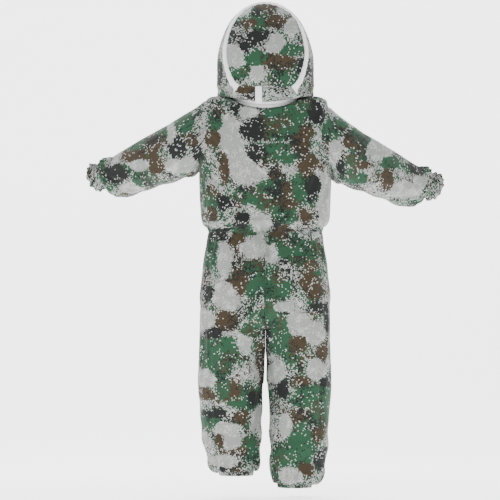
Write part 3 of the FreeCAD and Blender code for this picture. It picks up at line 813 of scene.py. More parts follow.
# Where the print's large patches lie on the back of the suit, in millimetres, each as the place of its
# middle (x, z) and half its size (x, z)
PATCHES = {
    "green": [
        (-83, -56, 68, 26), (-60, -112, 58, 44), (-63, -200, 58, 38), (178, -88, 26, 30),
        (-135, -317, 36, 44), (-14, -349, 52, 46), (194, -353, 26, 26), (74, -353, 38, 20),
        (-63, -421, 34, 20), (58, -466, 46, 18), (-235, -112, 40, 40), (222, -257, 14, 50),
        (197, -530, 30, 56), (-130, -541, 72, 34), (37, -640, 34, 62), (-38, -664, 50, 34),
        (-6, -766, 22, 34), (-54, -851, 38, 62), (155, -900, 72, 60), (47, -814, 34, 20),
        (-231, -980, 28, 32), (-156, -1042, 60, 36), (138, -1018, 28, 30), (60, -1050, 60, 38),
        (197, -1130, 30, 36), (47, -1226, 28, 40), (-129, -1194, 46, 60), (-200, -1114, 30, 36),
        (-70, -1240, 40, 30), (287, -91, 30, 34), (363, -119, 22, 30), (444, -163, 38, 22),
        (500, -252, 34, 18), (444, -288, 26, 24), (-326, -146, 30, 38), (-323, -207, 24, 28),
        (-441, -225, 28, 20), (-533, -243, 42, 24), (-309, -282, 42, 18), (18, 243, 26, 18),
        (38, 135, 38, 26), (90, 82, 34, 22), (-82, 159, 38, 18), (-62, 60, 42, 24),
    ],
    "brown": [
        (178, -152, 24, 26), (-143, -124, 26, 26), (-123, -172, 30, 32), (-147, -233, 28, 32),
        (142, -249, 17, 60), (-34, -273, 22, 17), (-79, -329, 24, 26), (-83, -373, 32, 20),
        (186, -413, 20, 22), (-46, -470, 34, 20), (-139, -421, 20, 24), (101, -500, 27, 20),
        (90, -648, 26, 42), (-167, -664, 27, 42), (-162, -589, 27, 22), (133, -776, 36, 30),
        (-108, -846, 28, 38), (-199, -894, 17, 32), (14, -932, 18, 70), (101, -1007, 20, 38),
        (214, -1036, 30, 20), (-129, -991, 26, 16), (85, -1119, 26, 22), (155, -1190, 16, 24),
        (90, -1237, 25, 16), (-119, -1108, 32, 26), (-178, -1173, 16, 22), (-140, -1300, 30, 22),
        (472, -203, 32, 19), (395, -163, 22, 30), (383, -240, 26, 26), (259, -155, 20, 24),
        (-287, -153, 17, 20), (-351, -239, 26, 13), (-430, -285, 20, 30), (62, 253, 26, 14),
        (-38, 255, 32, 22), (-50, 112, 44, 22), (-2, 315, 34, 12), (74, 22, 36, 12),
    ],
    "black": [
        (102, -48, 24, 28), (50, -120, 44, 38), (38, -200, 34, 32), (-179, -56, 26, 32),
        (-171, -325, 26, 42), (138, -373, 28, 24), (74, -429, 24, 24), (166, -480, 27, 18),
        (236, -200, 16, 30), (203, -685, 27, 27), (-226, -782, 22, 38), (-188, -739, 32, 17),
        (181, -825, 27, 16), (-3, -835, 14, 24), (-215, -996, 26, 14), (181, -1103, 36, 13),
        (37, -1050, 24, 20), (-199, -1258, 22, 30), (-60, -1017, 18, 28), (307, -187, 25, 44),
        (530, -268, 34, 34), (-259, -225, 14, 32), (-548, -250, 24, 20), (26, 191, 38, 30),
        (106, 203, 26, 22), (34, 295, 20, 16), (74, 167, 24, 16), (167, 82, 18, 38),
        (-140, 102, 22, 30),
    ],
    "none": [
        (126, -136, 28, 64), (90, -237, 42, 42), (74, -273, 34, 30), (18, -449, 34, 26),
        (-211, -369, 22, 80), (58, -56, 26, 18), (144, -573, 20, 44), (138, -700, 34, 40),
        (37, -530, 32, 27), (-22, -546, 18, 27), (-113, -798, 36, 34), (-172, -825, 28, 32),
        (74, -862, 24, 28), (208, -980, 28, 24), (-60, -733, 28, 14), (208, -776, 26, 30),
        (-178, -950, 26, 28), (-38, -964, 22, 28), (138, -1157, 36, 18), (117, -1200, 27, 24),
        (144, -1269, 38, 18), (26, -1119, 16, 30), (-70, -1141, 17, 28), (-87, -1320, 38, 24),
        (331, -123, 14, 34), (444, -236, 34, 17), (287, -240, 46, 22), (476, -316, 34, 14),
        (-401, -178, 38, 34), (-241, -196, 16, 42), (-498, -321, 42, 24), (106, 130, 26, 34),
        (74, 299, 22, 20), (-30, 179, 30, 26), (-90, 239, 20, 22), (30, 78, 20, 22),
    ],
}
PATCH_GAIN = 0.33
AWAY_FROM_PATCHES = 0.035


def patch_level(points, patches):
    """How near each point is to a patch, from 0 away from all to 1 inside one."""
    level = np.zeros(len(points))
    for x, z, wide, tall in patches:
        near = np.sqrt(((points[:, 0] * 1000 - x) / wide) ** 2 + ((points[:, 2] * 1000 - z) / tall) ** 2)
        level = np.maximum(level, smooth((1.65 - near) / 1.1))
    return level


def paint_patches(mesh, points):
    """Writes how strongly each ink's large patches show at each point of a piece of cloth."""
    arm = np.maximum(0, np.abs(points[:, 0]) - 0.225)
    behind = smooth((points[:, 1] + 0.80 * arm + 0.03) / 0.05)
    bare = patch_level(points, PATCHES["none"])
    for ink in INKS:
        level = patch_level(points, PATCHES[ink]) * PATCH_GAIN - bare * PATCH_GAIN - AWAY_FROM_PATCHES
        layer = mesh.attributes.new(ink, "FLOAT", "POINT")
        layer.data.foreach_set("value", (level * behind).astype(np.float32))


paint = camouflage_cloth()
thread = sewing_thread()
LOOKS = {"camouflage_cloth": lining_cloth(), "elastic": knitted_elastic(), "white_tape": white_tape(),
         "zip_teeth": moulded_teeth(), "zip_slider": plated_metal(), "veil": veil_thread(),
         "hoop_wire": spring_steel()}


# ---------------------------------------------------------------- making pieces
def grid_mean(cloth):
    """Column and row of the middle of each quad."""
    middle = cloth.place.mean(axis=1)
    return middle[:, 0], middle[:, 1]


def declare_cloth(cloth, keep):
    """Works out the flat size a piece of cloth was cut to; the sizes are not used."""
    uv = cloth.uv[keep]
    wide, long = np.ptp(uv[..., 0]), np.ptp(uv[..., 1])
    a, b = uv[:, 2] - uv[:, 0], uv[:, 3] - uv[:, 1]
    area = float(np.abs(a[:, 0] * b[:, 1] - a[:, 1] * b[:, 0]).sum() / 2)
    area = min(area, float(wide * long))


def make_bodice(cloth):
    """The back panel and the two front panels, stitched beside their seams."""
    sheet = cloth.sheet
    column, row = grid_mean(cloth)
    angle = column * 360 / sheet.cols
    low_side = round(108 * sheet.cols / 360)
    high_side = round(90 * sheet.cols / 360)
    seam = np.where(row < sheet.turns, 108.0, 90.0)
    back = (angle > seam) & (angle < 360 - seam)
    left, right = ~back & (angle <= 180), ~back & (angle > 180)
    near_zip, past_zip = ZIP_COLUMNS + 0.5, ZIP_COLUMNS + 1.5
    panels = (
        ("back", back, (0.0, 0.0), (low_side + 0.5, high_side + 0.5)),
        ("left_front", left, (2.3, 0.4), (near_zip, past_zip)),
        ("right_front", right, (4.9, 1.1), (sheet.cols - near_zip, sheet.cols - past_zip)))
    for name, keep, offset, columns in panels:
        seams = [cloth.line(keep, column=c) for c in columns]
        if keep is back:
            seams += [cloth.line(keep, column=sheet.cols - c) for c in columns]
        seams += [cloth.line(keep, row=r) for r in (0.5, sheet.rows - 2.5)]
        piece = thick_piece(f"{name}_bodice_cloth", cloth, keep, paint, offset, seams=seams)
        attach(piece, "torso")
        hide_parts(f"{name}_bodice_panel")
        declare_cloth(cloth, keep)


def sleeve_line(side):
    """A point and the direction of the arm's straight part."""
    mount = MOUNTS[f"{side}_wrist"]
    return Vector(mount["pos_m"]), Vector(mount["axis"])


def on_arm(side, x):
    """The point of the arm's line that far out from the middle of the suit."""
    at, along = sleeve_line(side)
    return at + along * ((math.copysign(x, at.x) - at.x) / along.x)


def make_sleeves(cloth, side, k):
    """A sleeve in two lengths, an upper and a lower, split along the arm."""
    _, row = grid_mean(cloth)
    sheet = cloth.sheet
    from_end = (on_arm(side, 0.365) - Vector(sheet.points[-1].mean(axis=0))).length
    split = round(float(np.interp(sheet.row_at[-1] - from_end, sheet.row_at, np.arange(sheet.rows))))
    offset = (6.1 + 1.7 * k, 0.9)
    high, low = row < split, row > split
    seams = [cloth.line(high, row=r) for r in (0.5, 1.5)] + [cloth.line(high, column=c) for c in (0.5, 1.5)]
    upper = thick_piece(f"{side}_upper_sleeve_cloth", cloth, high, paint, offset, seams=seams)
    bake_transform(upper)
    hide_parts(f"{side}_sleeve_head", f"{side}_upper_sleeve")
    declare_cloth(cloth, high)
    seams = [cloth.line(low, row=sheet.rows - 1.5)] + [cloth.line(low, column=c) for c in (0.5, 1.5)]
    lower = thick_piece(f"{side}_lower_sleeve_cloth", cloth, low, paint, offset, seams=seams)
    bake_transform(lower)
    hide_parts(f"{side}_elbow", f"{side}_lower_sleeve")
    declare_cloth(cloth, low)


def make_trousers(cloth, side, k):
    """A trouser half in four pieces: back and front, above and below mid thigh."""
    column, row = grid_mean(cloth)
    sheet = cloth.sheet
    depth = -sheet.points[:, sheet.cols // 2, 2]
    split = round(float(np.interp(-LEG_SPLIT_Z, depth, np.arange(sheet.rows))))
    seam = sheet.side_seam
    for part, cols, offset, lines in (
            ("back", column < seam, (11.0 + k, 0.2), (1, seam - 0.5, seam - 1.5)),
            ("front", column > seam, (15.0 + k, 2.2), (seam + 0.5, sheet.cols - 2, sheet.cols - 2.5))):
        high, low = cols & (row < split), cols & (row > split)
        seams = [cloth.line(high, column=c) for c in lines] + [cloth.line(high, row=0.5)]
        upper = thick_piece(f"{side}_{part}_trouser_cloth", cloth, high, paint, offset, seams=seams)
        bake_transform(upper)
        nodes = [f"{side}_{part}_seat_panel"]
        if part == "front":
            nodes += [f"{side}_hip_sleeve", f"{side}_thigh"]
        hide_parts(*nodes)
        declare_cloth(cloth, high)
        seams = [cloth.line(low, column=c) for c in lines] + [cloth.line(low, row=sheet.rows - 1.5)]
        lower = thick_piece(f"{side}_{part}_leg_cloth", cloth, low, paint, offset, seams=seams)
        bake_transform(lower)
        if part == "front":
            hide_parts(f"{side}_knee", f"{side}_lower_leg")
        declare_cloth(cloth, low)


# ---------------------------------------------------------------- cuffs, pockets and flap
def gathered_cuff(name, mount, r, long, frill, flare, folds, seed, body, node, offset):
    """A casing pulled in by elastic, with a frill past it where the hem has one."""
    at, along = np.array(MOUNTS[mount]["pos_m"]), np.array(MOUNTS[mount]["axis"])
    start = at - along * long / 2
    up = np.array([0.0, 1.0, 0.0])
    if abs(along[2]) < 0.9:
        up = unit(np.array([0.0, 0.0, 1.0]) - along * along[2])
    side = np.cross(along, up)
    cols = 144
    angle = 2 * math.pi * np.arange(cols) / cols
    rows = 10 + (9 if frill else 0)
    shirr = waves(angle, folds, seed)
    ring = np.outer(np.cos(angle), up) + np.outer(np.sin(angle), side)
    points = []
    for i in range(rows):
        if i < 10:
            t = i / 9
            far, radius = long * t, r + 0.0006 + 0.0016 * math.sin(math.pi * t)
            deep = 0.0014
        else:
            t = (i - 9) / 9
            far, radius = long + frill * t, r + 0.0006 + (flare - r - 0.0006) * smooth(np.array(t))
            deep = 0.0014 + 0.0036 * t
        reach = radius + deep * shirr
        points.append(start + along * far + ring * reach[:, None])
    sheet = Sheet(name, np.array(points), True)
    cloth = Cloth(sheet, 1)
    keep = np.ones(len(cloth.quads), bool)
    seams = [cloth.line(keep, row=v) for v in (1, 8)] + ([cloth.line(keep, row=rows - 1.5)] if frill else [])
    piece = thick_piece(name, cloth, keep, paint, offset, seams=seams)
    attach(piece, body)
    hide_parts(node)
    declare_cloth(cloth, keep)


def cuffs():
    """The gathered wrists with their frills, and the gathered ankles."""
    for side, k in SIDES:
        gathered_cuff(f"{side}_wrist_cuff", f"{side}_wrist", 0.0368, 0.024, 0.0290, 0.052, 11, 51 + k,
                      f"{side}_forearm", f"{side}_wrist_casing", (19.0 + k, 0.3))
        gathered_cuff(f"{side}_ankle_cuff", f"{side}_ankle", 0.0582, 0.0255, 0, 0, 30, 61 + k,
                      f"{side}_shin", f"{side}_ankle_casing", (23.0 + k, 0.3))


def laid_patch(name, trees, x_span, z_span, way, lift, offset, node, top_hem=0.024):
    """A patch pocket that follows the cloth it is sewn to, full in the middle and flat at its edges."""
    cols = round((x_span[1] - x_span[0]) / 0.0042)
    rows = round((z_span[1] - z_span[0]) / 0.0042)
    points = np.zeros((rows + 1, cols + 1, 3))
    for r in range(rows + 1):
        for c in range(cols + 1):
            u, v = c / cols, r / rows
            x = x_span[0] + (x_span[1] - x_span[0]) * u
            z = z_span[1] + (z_span[0] - z_span[1]) * v
            hits = [tree.ray_cast(Vector((x, 0.35 * way, z)), Vector((0, -way, 0))) for tree in trees]
            place = max((hit[0] for hit in hits if hit[0] is not None), key=lambda spot: spot.y * way)
            full = (4 * u * (1 - u)) ** 0.5 * (1 - v) ** 0.5 * min(1, v * 6 + 0.45)
            edge = 1.0 if min(u, 1 - u) > 0.03 and v < 0.97 else 0.55
            points[r, c] = place + Vector((0, way * (lift * edge + 0.0022 * full), 0))
    for _ in range(2):
        inner = (points[:-2, 1:-1] + points[2:, 1:-1] + points[1:-1, :-2] + points[1:-1, 2:]) / 4
        points[1:-1, 1:-1, 1] = 0.5 * points[1:-1, 1:-1, 1] + 0.5 * inner[..., 1]
    sheet = Sheet(name, points, False)
    cloth = Cloth(sheet, 1, centre=(sum(x_span) / 2, 0, sum(z_span) / 2))
    keep = np.ones(len(cloth.quads), bool)
    hem = round(top_hem / 0.0042)
    seams = [cloth.line(keep, column=c) for c in (0.5, 2, cols - 0.5, cols - 2)]
    seams += [cloth.line(keep, row=r) for r in (hem, rows - 0.5, rows - 2)]
    piece = thick_piece(name, cloth, keep, paint, offset, seams=seams)
    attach(piece, "torso")
    if node:
        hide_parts(node)
    declare_cloth(cloth, keep)


def pockets(bodice_cloth, trouser_cloths):
    """The rear pocket, and the chest pocket with its flap."""
    trees = [BVHTree.FromPolygons(c.points.tolist(), c.quads.tolist()) for c in trouser_cloths]
    low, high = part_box("rear_pocket")
    laid_patch("rear_pocket_cloth", trees, (low[0], high[0]), (low[2], high[2]), 1, 0.0024, (31.0, 0.7),
               "rear_pocket")
    trees = [BVHTree.FromPolygons(bodice_cloth.points.tolist(), bodice_cloth.quads.tolist())]
    low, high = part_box("chest_pocket")
    laid_patch("chest_pocket_cloth", trees, (low[0], high[0]), (low[2], high[2] - 0.010), -1, 0.0024,
               (33.0, 0.9), "chest_pocket")
    laid_patch("chest_pocket_flap", trees, (low[0] - 0.001, high[0] + 0.001), (high[2] - 0.040, high[2]), -1,
               0.0052, (35.0, 0.4), None, top_hem=0.004)


def throat_flap():
    """The hook-and-loop flap, soft, with its free corners rounded and a stitched border."""
    hinge = JOINTS["throat_flap_open"]
    at, up = np.array(hinge["pos_m"]), np.array(hinge["axis"])
    across = np.array([-1.0, 0.0, 0.0])
    out = unit(np.cross(across, up))
    if out[1] > 0:
        out = -out
    wide, tall = 2 * at[0], 0.0566
    rows, cols = 20, 17
    points = np.zeros((rows, cols, 3))
    for r in range(rows):
        for c in range(cols):
            u, v = c / (cols - 1), r / (rows - 1)
            round_off = 0.010 * max(0, u - 0.72) ** 2 / 0.078 * (2 * v - 1) * 2
            bulge = 0.0016 * math.sin(math.pi * u) * math.sin(math.pi * v) + 0.0014
            points[r, c] = at + across * wide * u + up * (tall * v - round_off) + out * bulge
    sheet = Sheet("throat_flap_cloth", points, False)
    cloth = Cloth(sheet, 1, centre=at - out)
    keep = np.ones(len(cloth.quads), bool)
    seams = [cloth.line(keep, column=c) for c in (1, cols - 2)]
    seams += [cloth.line(keep, row=r) for r in (1, rows - 2)]
    piece = thick_piece("throat_flap_cloth", cloth, keep, paint, (37.0, 0.1), seams=seams, thickness=0.0016)
    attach(piece, "throat_closure")
    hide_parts("throat_flap")
    declare_cloth(cloth, keep)


# ---------------------------------------------------------------- hood
def hood_sheet():
    """The hood's cloth and veil in one ring from the middle of the front, up from the skirt's seam."""
    tree = tree_of("hood_back_panel", "hood_crown_band", "veil_mesh")
    cols, low, dome = 184, 34, 32
    turn_z = 0.225
    angle = -math.pi / 2 + 2 * math.pi * np.arange(cols) / cols
    flat = np.stack([np.cos(angle), np.sin(angle), 0 * angle], axis=1)
    origins, ways = [], []
    for r in range(low + dome):
        z = min(HOOD_LOW_Z + 0.0006 + r * (turn_z - HOOD_LOW_Z) / low, turn_z)
        rise = math.radians(89.2) * max(0, r - low) / (dome - 1)
        ways.append(flat * math.cos(rise) + np.array([0, 0, math.sin(rise)]))
        origins.append(np.tile([0, NECK.y, z], (cols, 1)))
    sheet = Sheet("hood", shoot(tree, np.array(origins), np.array(ways), True), True)
    sheet.angle = np.tile(angle, (sheet.rows, 1))
    return sheet


def over_plane(points, plane):
    """How far points are behind a hoop's plane."""
    return points[..., 1] - plane[0] - plane[1] * points[..., 2]


def pucker_hood(sheet):
    """The crown band sinks a little between its hoops, and the cloth puckers beside each casing."""
    rear, front = over_plane(sheet.points, REAR_HOOP), over_plane(sheet.points, FRONT_HOOP)
    between = np.clip(-rear / 0.17, 0, 1) * np.clip(front / 0.17, 0, 1) * 4
    side = np.arctan2(sheet.points[..., 0], sheet.points[..., 2] - 0.12)
    ripple = 0.0011 * np.sin(side * 46 + 3 * np.sin(side * 5)) * np.exp(-np.abs(rear) / 0.030)
    ripple = ripple + 0.0011 * np.sin(side * 41 + 2) * np.exp(-np.abs(front) / 0.030) * (front > 0)
    slant = sheet.points[..., 0] * 46 + sheet.points[..., 2] * 21
    back = 0.0018 * np.sin(slant) * np.clip(rear / 0.02, 0, 1)
    sheet.push(ripple + back - 0.0035 * between)


def skirt_sheet(hood):
    """The hood's skirt: from the hood's lower edge it droops to the shoulders and turns in to the zip."""
    rows = 24
    angle = hood.angle[0]
    top = hood.points[0]
    foot = np.array([neck_point(a, NECK_R + 0.0012, 0.0112) for a in angle])
    beside = (np.abs(np.cos(angle)) ** 1.3)[:, None]
    out = np.stack([np.cos(angle), np.sin(angle), 0 * angle], axis=1)
    down = np.array([0.0, 0.0, 1.0])
    knee = top - down * (0.008 + 0.046 * beside) + out * (0.002 + 0.006 * beside)
    heel = foot + out * (0.026 + 0.012 * beside) - down * (0.004 + 0.006 * beside)
    ripple = waves(angle, 17, 71)
    points = []
    for r in range(rows):
        t = r / (rows - 1)
        place = top * (1 - t) ** 3 + knee * 3 * t * (1 - t) ** 2 + heel * 3 * t * t * (1 - t) + foot * t ** 3
        crease = 0.0035 * math.exp(-((t - 0.10) / 0.06) ** 2)
        place = place - out * crease
        place[:, 2] += 0.0030 * ripple * math.sin(math.pi * t) * (0.4 + 0.6 * t)
        points.append(place)
    points[0] = top
    sheet = Sheet("hood_skirt", np.array(points), True)
    sheet.angle = np.tile(angle, (rows, 1))
    return sheet


def arch_uv(points):
    """Cloth coordinates for the crown band: round the hoops, and front to back."""
    round_way = np.arctan2(points[..., 0], points[..., 2] - 0.13) * 0.172
    return np.stack([round_way, points[..., 1] * 1.03 + points[..., 2] * 0.2], axis=-1)


def net(name, cloth, keep, radius):
    """Netting: one thin three-sided thread along every edge of some of the quads."""
    quads = cloth.quads[keep]
    edges = np.concatenate([quads[:, [i, (i + 1) % 4]] for i in range(4)])
    edges = np.unique(np.sort(edges, axis=1), axis=0)
    a, b = cloth.points[edges[:, 0]], cloth.points[edges[:, 1]]
    n = unit(cloth.normals[edges[:, 0]] + cloth.normals[edges[:, 1]])
    side = unit(np.cross(b - a, n) + 1e-12)
    corners = []
    for turn in (90, 210, 330):
        out = (n * math.sin(math.radians(turn)) + side * math.cos(math.radians(turn))) * radius
        corners += [a + out, b + out]
    points = np.stack(corners, axis=1).reshape(-1, 3)
    start = np.arange(len(edges))[:, None, None] * 6
    faces = (np.array([(0, 1, 3, 2), (2, 3, 5, 4), (4, 5, 1, 0)])[None] + start).reshape(-1, 4)
    mesh = bpy.data.meshes.new(name)
    mesh.from_pydata(points.tolist(), [], faces.tolist())
    mesh.polygons.foreach_set("use_smooth", [True] * len(mesh.polygons))
    mesh.materials.append(LOOKS["veil"])
    piece = bpy.data.objects.new(name, mesh)
    bpy.context.scene.collection.objects.link(piece)
    return piece


def make_hood():
    """Back panel, crown band, veil and skirt of the hood."""
    sheet = hood_sheet()
    pucker_hood(sheet)
    skirt = skirt_sheet(sheet)
    cloth = Cloth(sheet, 1)
    middle = cloth.middles()
    rear, front = over_plane(middle, REAR_HOOP), over_plane(middle, FRONT_HOOP)
    back, band, veil = rear > 0, (rear <= 0) & (front > 0), front <= 0
    measured = cloth.uv
    flat = cloth.points[cloth.quads]
    cloth.uv = np.stack([flat[..., 0], measured[..., 1]], axis=2)
    piece = thick_piece("hood_back_cloth", cloth, back, paint, (41.0, 0.2), seams=[cloth.line(back, row=1)])
    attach(piece, "hood")
    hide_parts("hood_back_panel")
    declare_cloth(cloth, back)
    cloth.uv = arch_uv(flat)
    piece = thick_piece("hood_crown_cloth", cloth, band, paint, (44.0, 0.6), seams=[cloth.line(band, row=1)])
    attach(piece, "hood")
    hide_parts("hood_crown_band")
    declare_cloth(cloth, band)
    piece = net("veil_net", cloth, veil, 0.00036)
    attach(piece, "hood")
    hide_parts("veil_mesh")
    cloth.uv = measured
    under = Cloth(skirt, 1, centre=(0, NECK.y, 0.10))
    keep = np.ones(len(under.quads), bool)
    seams = [under.line(keep, row=r) for r in (1.5, skirt.rows - 2)]
    piece = thick_piece("hood_skirt_cloth", under, keep, paint, (47.0, 0.8), seams=seams)
    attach(piece, "hood")
    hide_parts("hood_skirt")
    declare_cloth(under, keep)
    return cloth, under


def white_strip(name, points, body, node, thickness, centre, seams, level=1):
    """A white tape or binding from a grid of points, sewn down along the columns named in seams."""
    sheet = Sheet(name, points, False)
    cloth = Cloth(sheet, level, centre)
    keep = np.ones(len(cloth.quads), bool)
    lines = [cloth.line(keep, column=c) for c in seams]
    piece = thick_piece(name, cloth, keep, LOOKS["white_tape"], seams=lines, thickness=thickness)
    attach(piece, body)
    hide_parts(node)


def tube(name, points, radius, material):
    """A round wire along a line of points."""
    ahead = unit(np.gradient(points, axis=0))
    side = unit(np.cross(ahead, np.array([0.3, 1.0, 0.2])))
    up = np.cross(side, ahead)
    turn = 2 * math.pi * np.arange(8) / 8
    rings = points[:, None] + radius * (side[:, None] * np.cos(turn)[None, :, None]
                                        + up[:, None] * np.sin(turn)[None, :, None])
    at = np.arange(len(points) - 1)[:, None] * 8
    i, j = np.arange(8), (np.arange(8) + 1) % 8
    faces = np.stack([at + i, at + j, at + 8 + j, at + 8 + i], axis=2).reshape(-1, 4).tolist()
    faces += [list(range(7, -1, -1)), list(range(len(points) * 8 - 8, len(points) * 8))]
    mesh = bpy.data.meshes.new(name)
    mesh.from_pydata(rings.reshape(-1, 3).tolist(), [], faces)
    mesh.polygons.foreach_set("use_smooth", [True] * len(mesh.polygons))
    mesh.materials.append(material)
    piece = bpy.data.objects.new(name, mesh)
    bpy.context.scene.collection.objects.link(piece)
    return piece


def hoop_bindings(hood_cloth, skirt_cloth):
    """White casings over the two hoops, round in section, sewn along both edges, and the wires in them."""
    trees = [BVHTree.FromPolygons(c.points.tolist(), c.quads.tolist()) for c in (hood_cloth, skirt_cloth)]
    half, high = 0.0078, 0.0048
    for name, plane in (("rear", REAR_HOOP), ("front", FRONT_HOOP)):
        up = unit(np.array([0.0, plane[1], 1.0]))
        off = unit(np.array([0.0, 1.0, -plane[1]]))
        middle_z = 0.140
        centre = np.array([0.0, plane[0] + plane[1] * middle_z, middle_z])
        across = np.linspace(-1, 1, 11)
        angles = np.radians(np.linspace(-62, 242, 229))
        points, ways = [], []
        for a in angles:
            way = np.array([1.0, 0, 0]) * math.cos(a) + up * math.sin(a)
            row = []
            for u in across:
                start = Vector(centre + off * half * u)
                hits = [tree.ray_cast(start, Vector(way))[0] for tree in trees]
                hits = [hit for hit in hits if hit is not None]
                row.append(max(hits, key=lambda hit: (hit - start).length) if hits else (0, 0, -9))
            points.append(row)
            ways.append(way)
        points, ways = np.array(points), np.array(ways)
        keep = points[:, 5, 2] > HOOP_FOOT_Z
        points, ways = points[keep], ways[keep]
        dome = 0.0003 + (high - 0.0006) * np.sqrt(np.clip(1 - np.abs(across) ** 3.0, 0, 1))
        casing = points + ways[:, None] * dome[None, :, None]
        white_strip(f"{name}_hoop_casing", casing, "hood", f"{name}_hoop_binding", 0.0007,
                    (0, NECK.y, 0.12), (0.5, 9.5))
        wire = tube(f"{name}_hoop_spring", points[2:-2, 5] + ways[2:-2] * 0.0021, 0.0009, LOOKS["hoop_wire"])
        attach(wire, "hood")
        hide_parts(f"{name}_hoop_wire")


def neck_tapes():
    """The two white tapes of the neck zip, each sewn down along its outer edge."""
    angles = -math.pi / 2 + 2 * math.pi * np.arange(241) / 240
    for name, low, high, body, seam in (("neck_zip_lower", -0.0109, -0.0021, "torso", 0.5),
                                        ("neck_zip_upper", 0.0021, 0.0109, "hood", 4.5)):
        grid = []
        for a in angles:
            ripple = 0.00035 * math.sin(a * 23) + 0.0002 * math.sin(a * 51)
            rises = [low + (high - low) * i / 5 for i in range(6)]
            grid.append([neck_point(a, NECK_R + 0.0007 + ripple, rise) for rise in rises])
        white_strip(f"{name}_woven_tape", np.array(grid), body, f"{name}_tape", TAPE,
                    (0, NECK.y, 0.0), (seam,), level=0)


def tooth_rows(name, body, node, frames):
    """Moulded zip teeth: a waisted block with a wider head for each frame (place, along, head, out)."""
    profile = ((0.0000, 0.00050, 0.00125), (0.0007, 0.00050, 0.00130), (0.0011, 0.00078, 0.00140),
               (0.0018, 0.00070, 0.00120))
    points, faces = [], []
    for place, along, head, out in frames:
        begin = len(points)
        for far, wide, deep in profile:
            for a, b in ((-1, -1), (1, -1), (1, 1), (-1, 1)):
                points.append(place + head * far + along * (wide * a) + out * (deep * b))
        for level in range(len(profile) - 1):
            for i in range(4):
                j = (i + 1) % 4
                at = begin + level * 4
                faces.append((at + i, at + j, at + j + 4, at + i + 4))
        faces.append((begin + 3, begin + 2, begin + 1, begin))
        top = begin + 4 * (len(profile) - 1)
        faces.append((top, top + 1, top + 2, top + 3))
    mesh = bpy.data.meshes.new(name)
    mesh.from_pydata([list(p) for p in points], [], faces)
    mesh.materials.append(LOOKS["zip_teeth"])
    piece = bpy.data.objects.new(name, mesh)
    bpy.context.scene.collection.objects.link(piece)
    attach(piece, body)
    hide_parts(node)


def zip_teeth():
    """Both rows of the neck zip, and the front zip's teeth."""
    pitch = 0.0025
    count = round(2 * math.pi * NECK_R / pitch)
    for name, body, way, shift in (("neck_zip_lower", "torso", 1, 0.0), ("neck_zip_upper", "hood", -1, 0.5)):
        frames = []
        for i in range(count):
            a = 2 * math.pi * (i + shift) / count
            at = neck_point(a, NECK_R, -0.0020 * way)
            ahead = np.array(neck_point(a + 0.01, NECK_R, -0.0020 * way) - at)
            head = np.array(neck_point(a, NECK_R, 0) - at)
            along, head = unit(ahead), unit(head)
            frames.append((np.array(at), along, head, np.cross(along, head)))
        tooth_rows(f"{name}_chain", body, f"{name}_teeth", frames)
    low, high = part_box("front_zip_teeth")
    frames = []
    for way, shift in ((1, 0.0), (-1, 0.5)):
        for i in range(int((high[2] - low[2] - 0.006) / pitch)):
            place = np.array([way * 0.0021, low[1] + 0.0030, low[2] + 0.005 + (i + shift) * pitch])
            head = np.array([-way * 1.0, 0, 0])
            frames.append((place, np.array([0, 0, 1.0]), head, np.array([0, 1.0, 0])))
    tooth_rows("front_zip_chain", "torso", "front_zip_teeth", frames)


def front_tapes():
    """The two tapes of the front zip."""
    for side, k in SIDES:
        node = f"{side}_front_zip_tape"
        tree = tree_of(node)
        low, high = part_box(node)
        edges = sorted((abs(low[0]), abs(high[0])))
        xs = np.linspace(edges[0] + 0.0003, edges[1] - 0.0003, 5) * k
        zs = np.linspace(low[2] + 0.001, high[2] - 0.001, 160)
        origins = np.array([[(x, -0.08, z) for x in xs] for z in zs])
        ways = np.tile(np.array([0.0, -1.0, 0.0]), (len(zs), len(xs), 1))
        points = shoot(tree, origins, ways, False, wall=0.0015)
        white_strip(f"{side}_front_woven_tape", points, "torso", node, TAPE, (0, 0, -0.4), (3.5,), level=0)


def hanging_tab(hood_cloth, skirt_cloth):
    """White webbing, sewn to the hood's lower edge, that hangs over the neck zip with its end free."""
    low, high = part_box("neck_tab")
    trees = [BVHTree.FromPolygons(c.points.tolist(), c.quads.tolist()) for c in (hood_cloth, skirt_cloth)]
    x0, x1 = low[0] + 0.0002, high[0] - 0.0002
    rows, cols = 26, 9
    points = np.zeros((rows, cols, 3))
    for r in range(rows):
        z = high[2] - 0.0005 - (high[2] - low[2] - 0.001) * r / (rows - 1)
        for c in range(cols):
            x = x0 + (x1 - x0) * c / (cols - 1)
            hits = [tree.ray_cast(Vector((x, 0.3, z)), Vector((0, -1, 0)))[0] for tree in trees]
            under = max([hit.y for hit in hits if hit is not None] + [NECK.y + NECK_R * 0.97])
            points[r, c] = (x, under + 0.0022, z)
    for _ in range(6):
        points[1:-1, :, 1] = np.maximum(points[1:-1, :, 1], (points[:-2, :, 1] + points[2:, :, 1]) / 2)
    free = smooth((np.arange(rows) - 8) / 12)[:, None]
    points[..., 1] += free * (0.0022 + 0.0010 * np.sin(np.arange(rows) * 0.4)[:, None])
    white_strip("neck_tab_webbing", points, "hood", "neck_tab", 0.0014,
                (float(x0 + x1) / 2, 0, 0), (1, cols - 2))


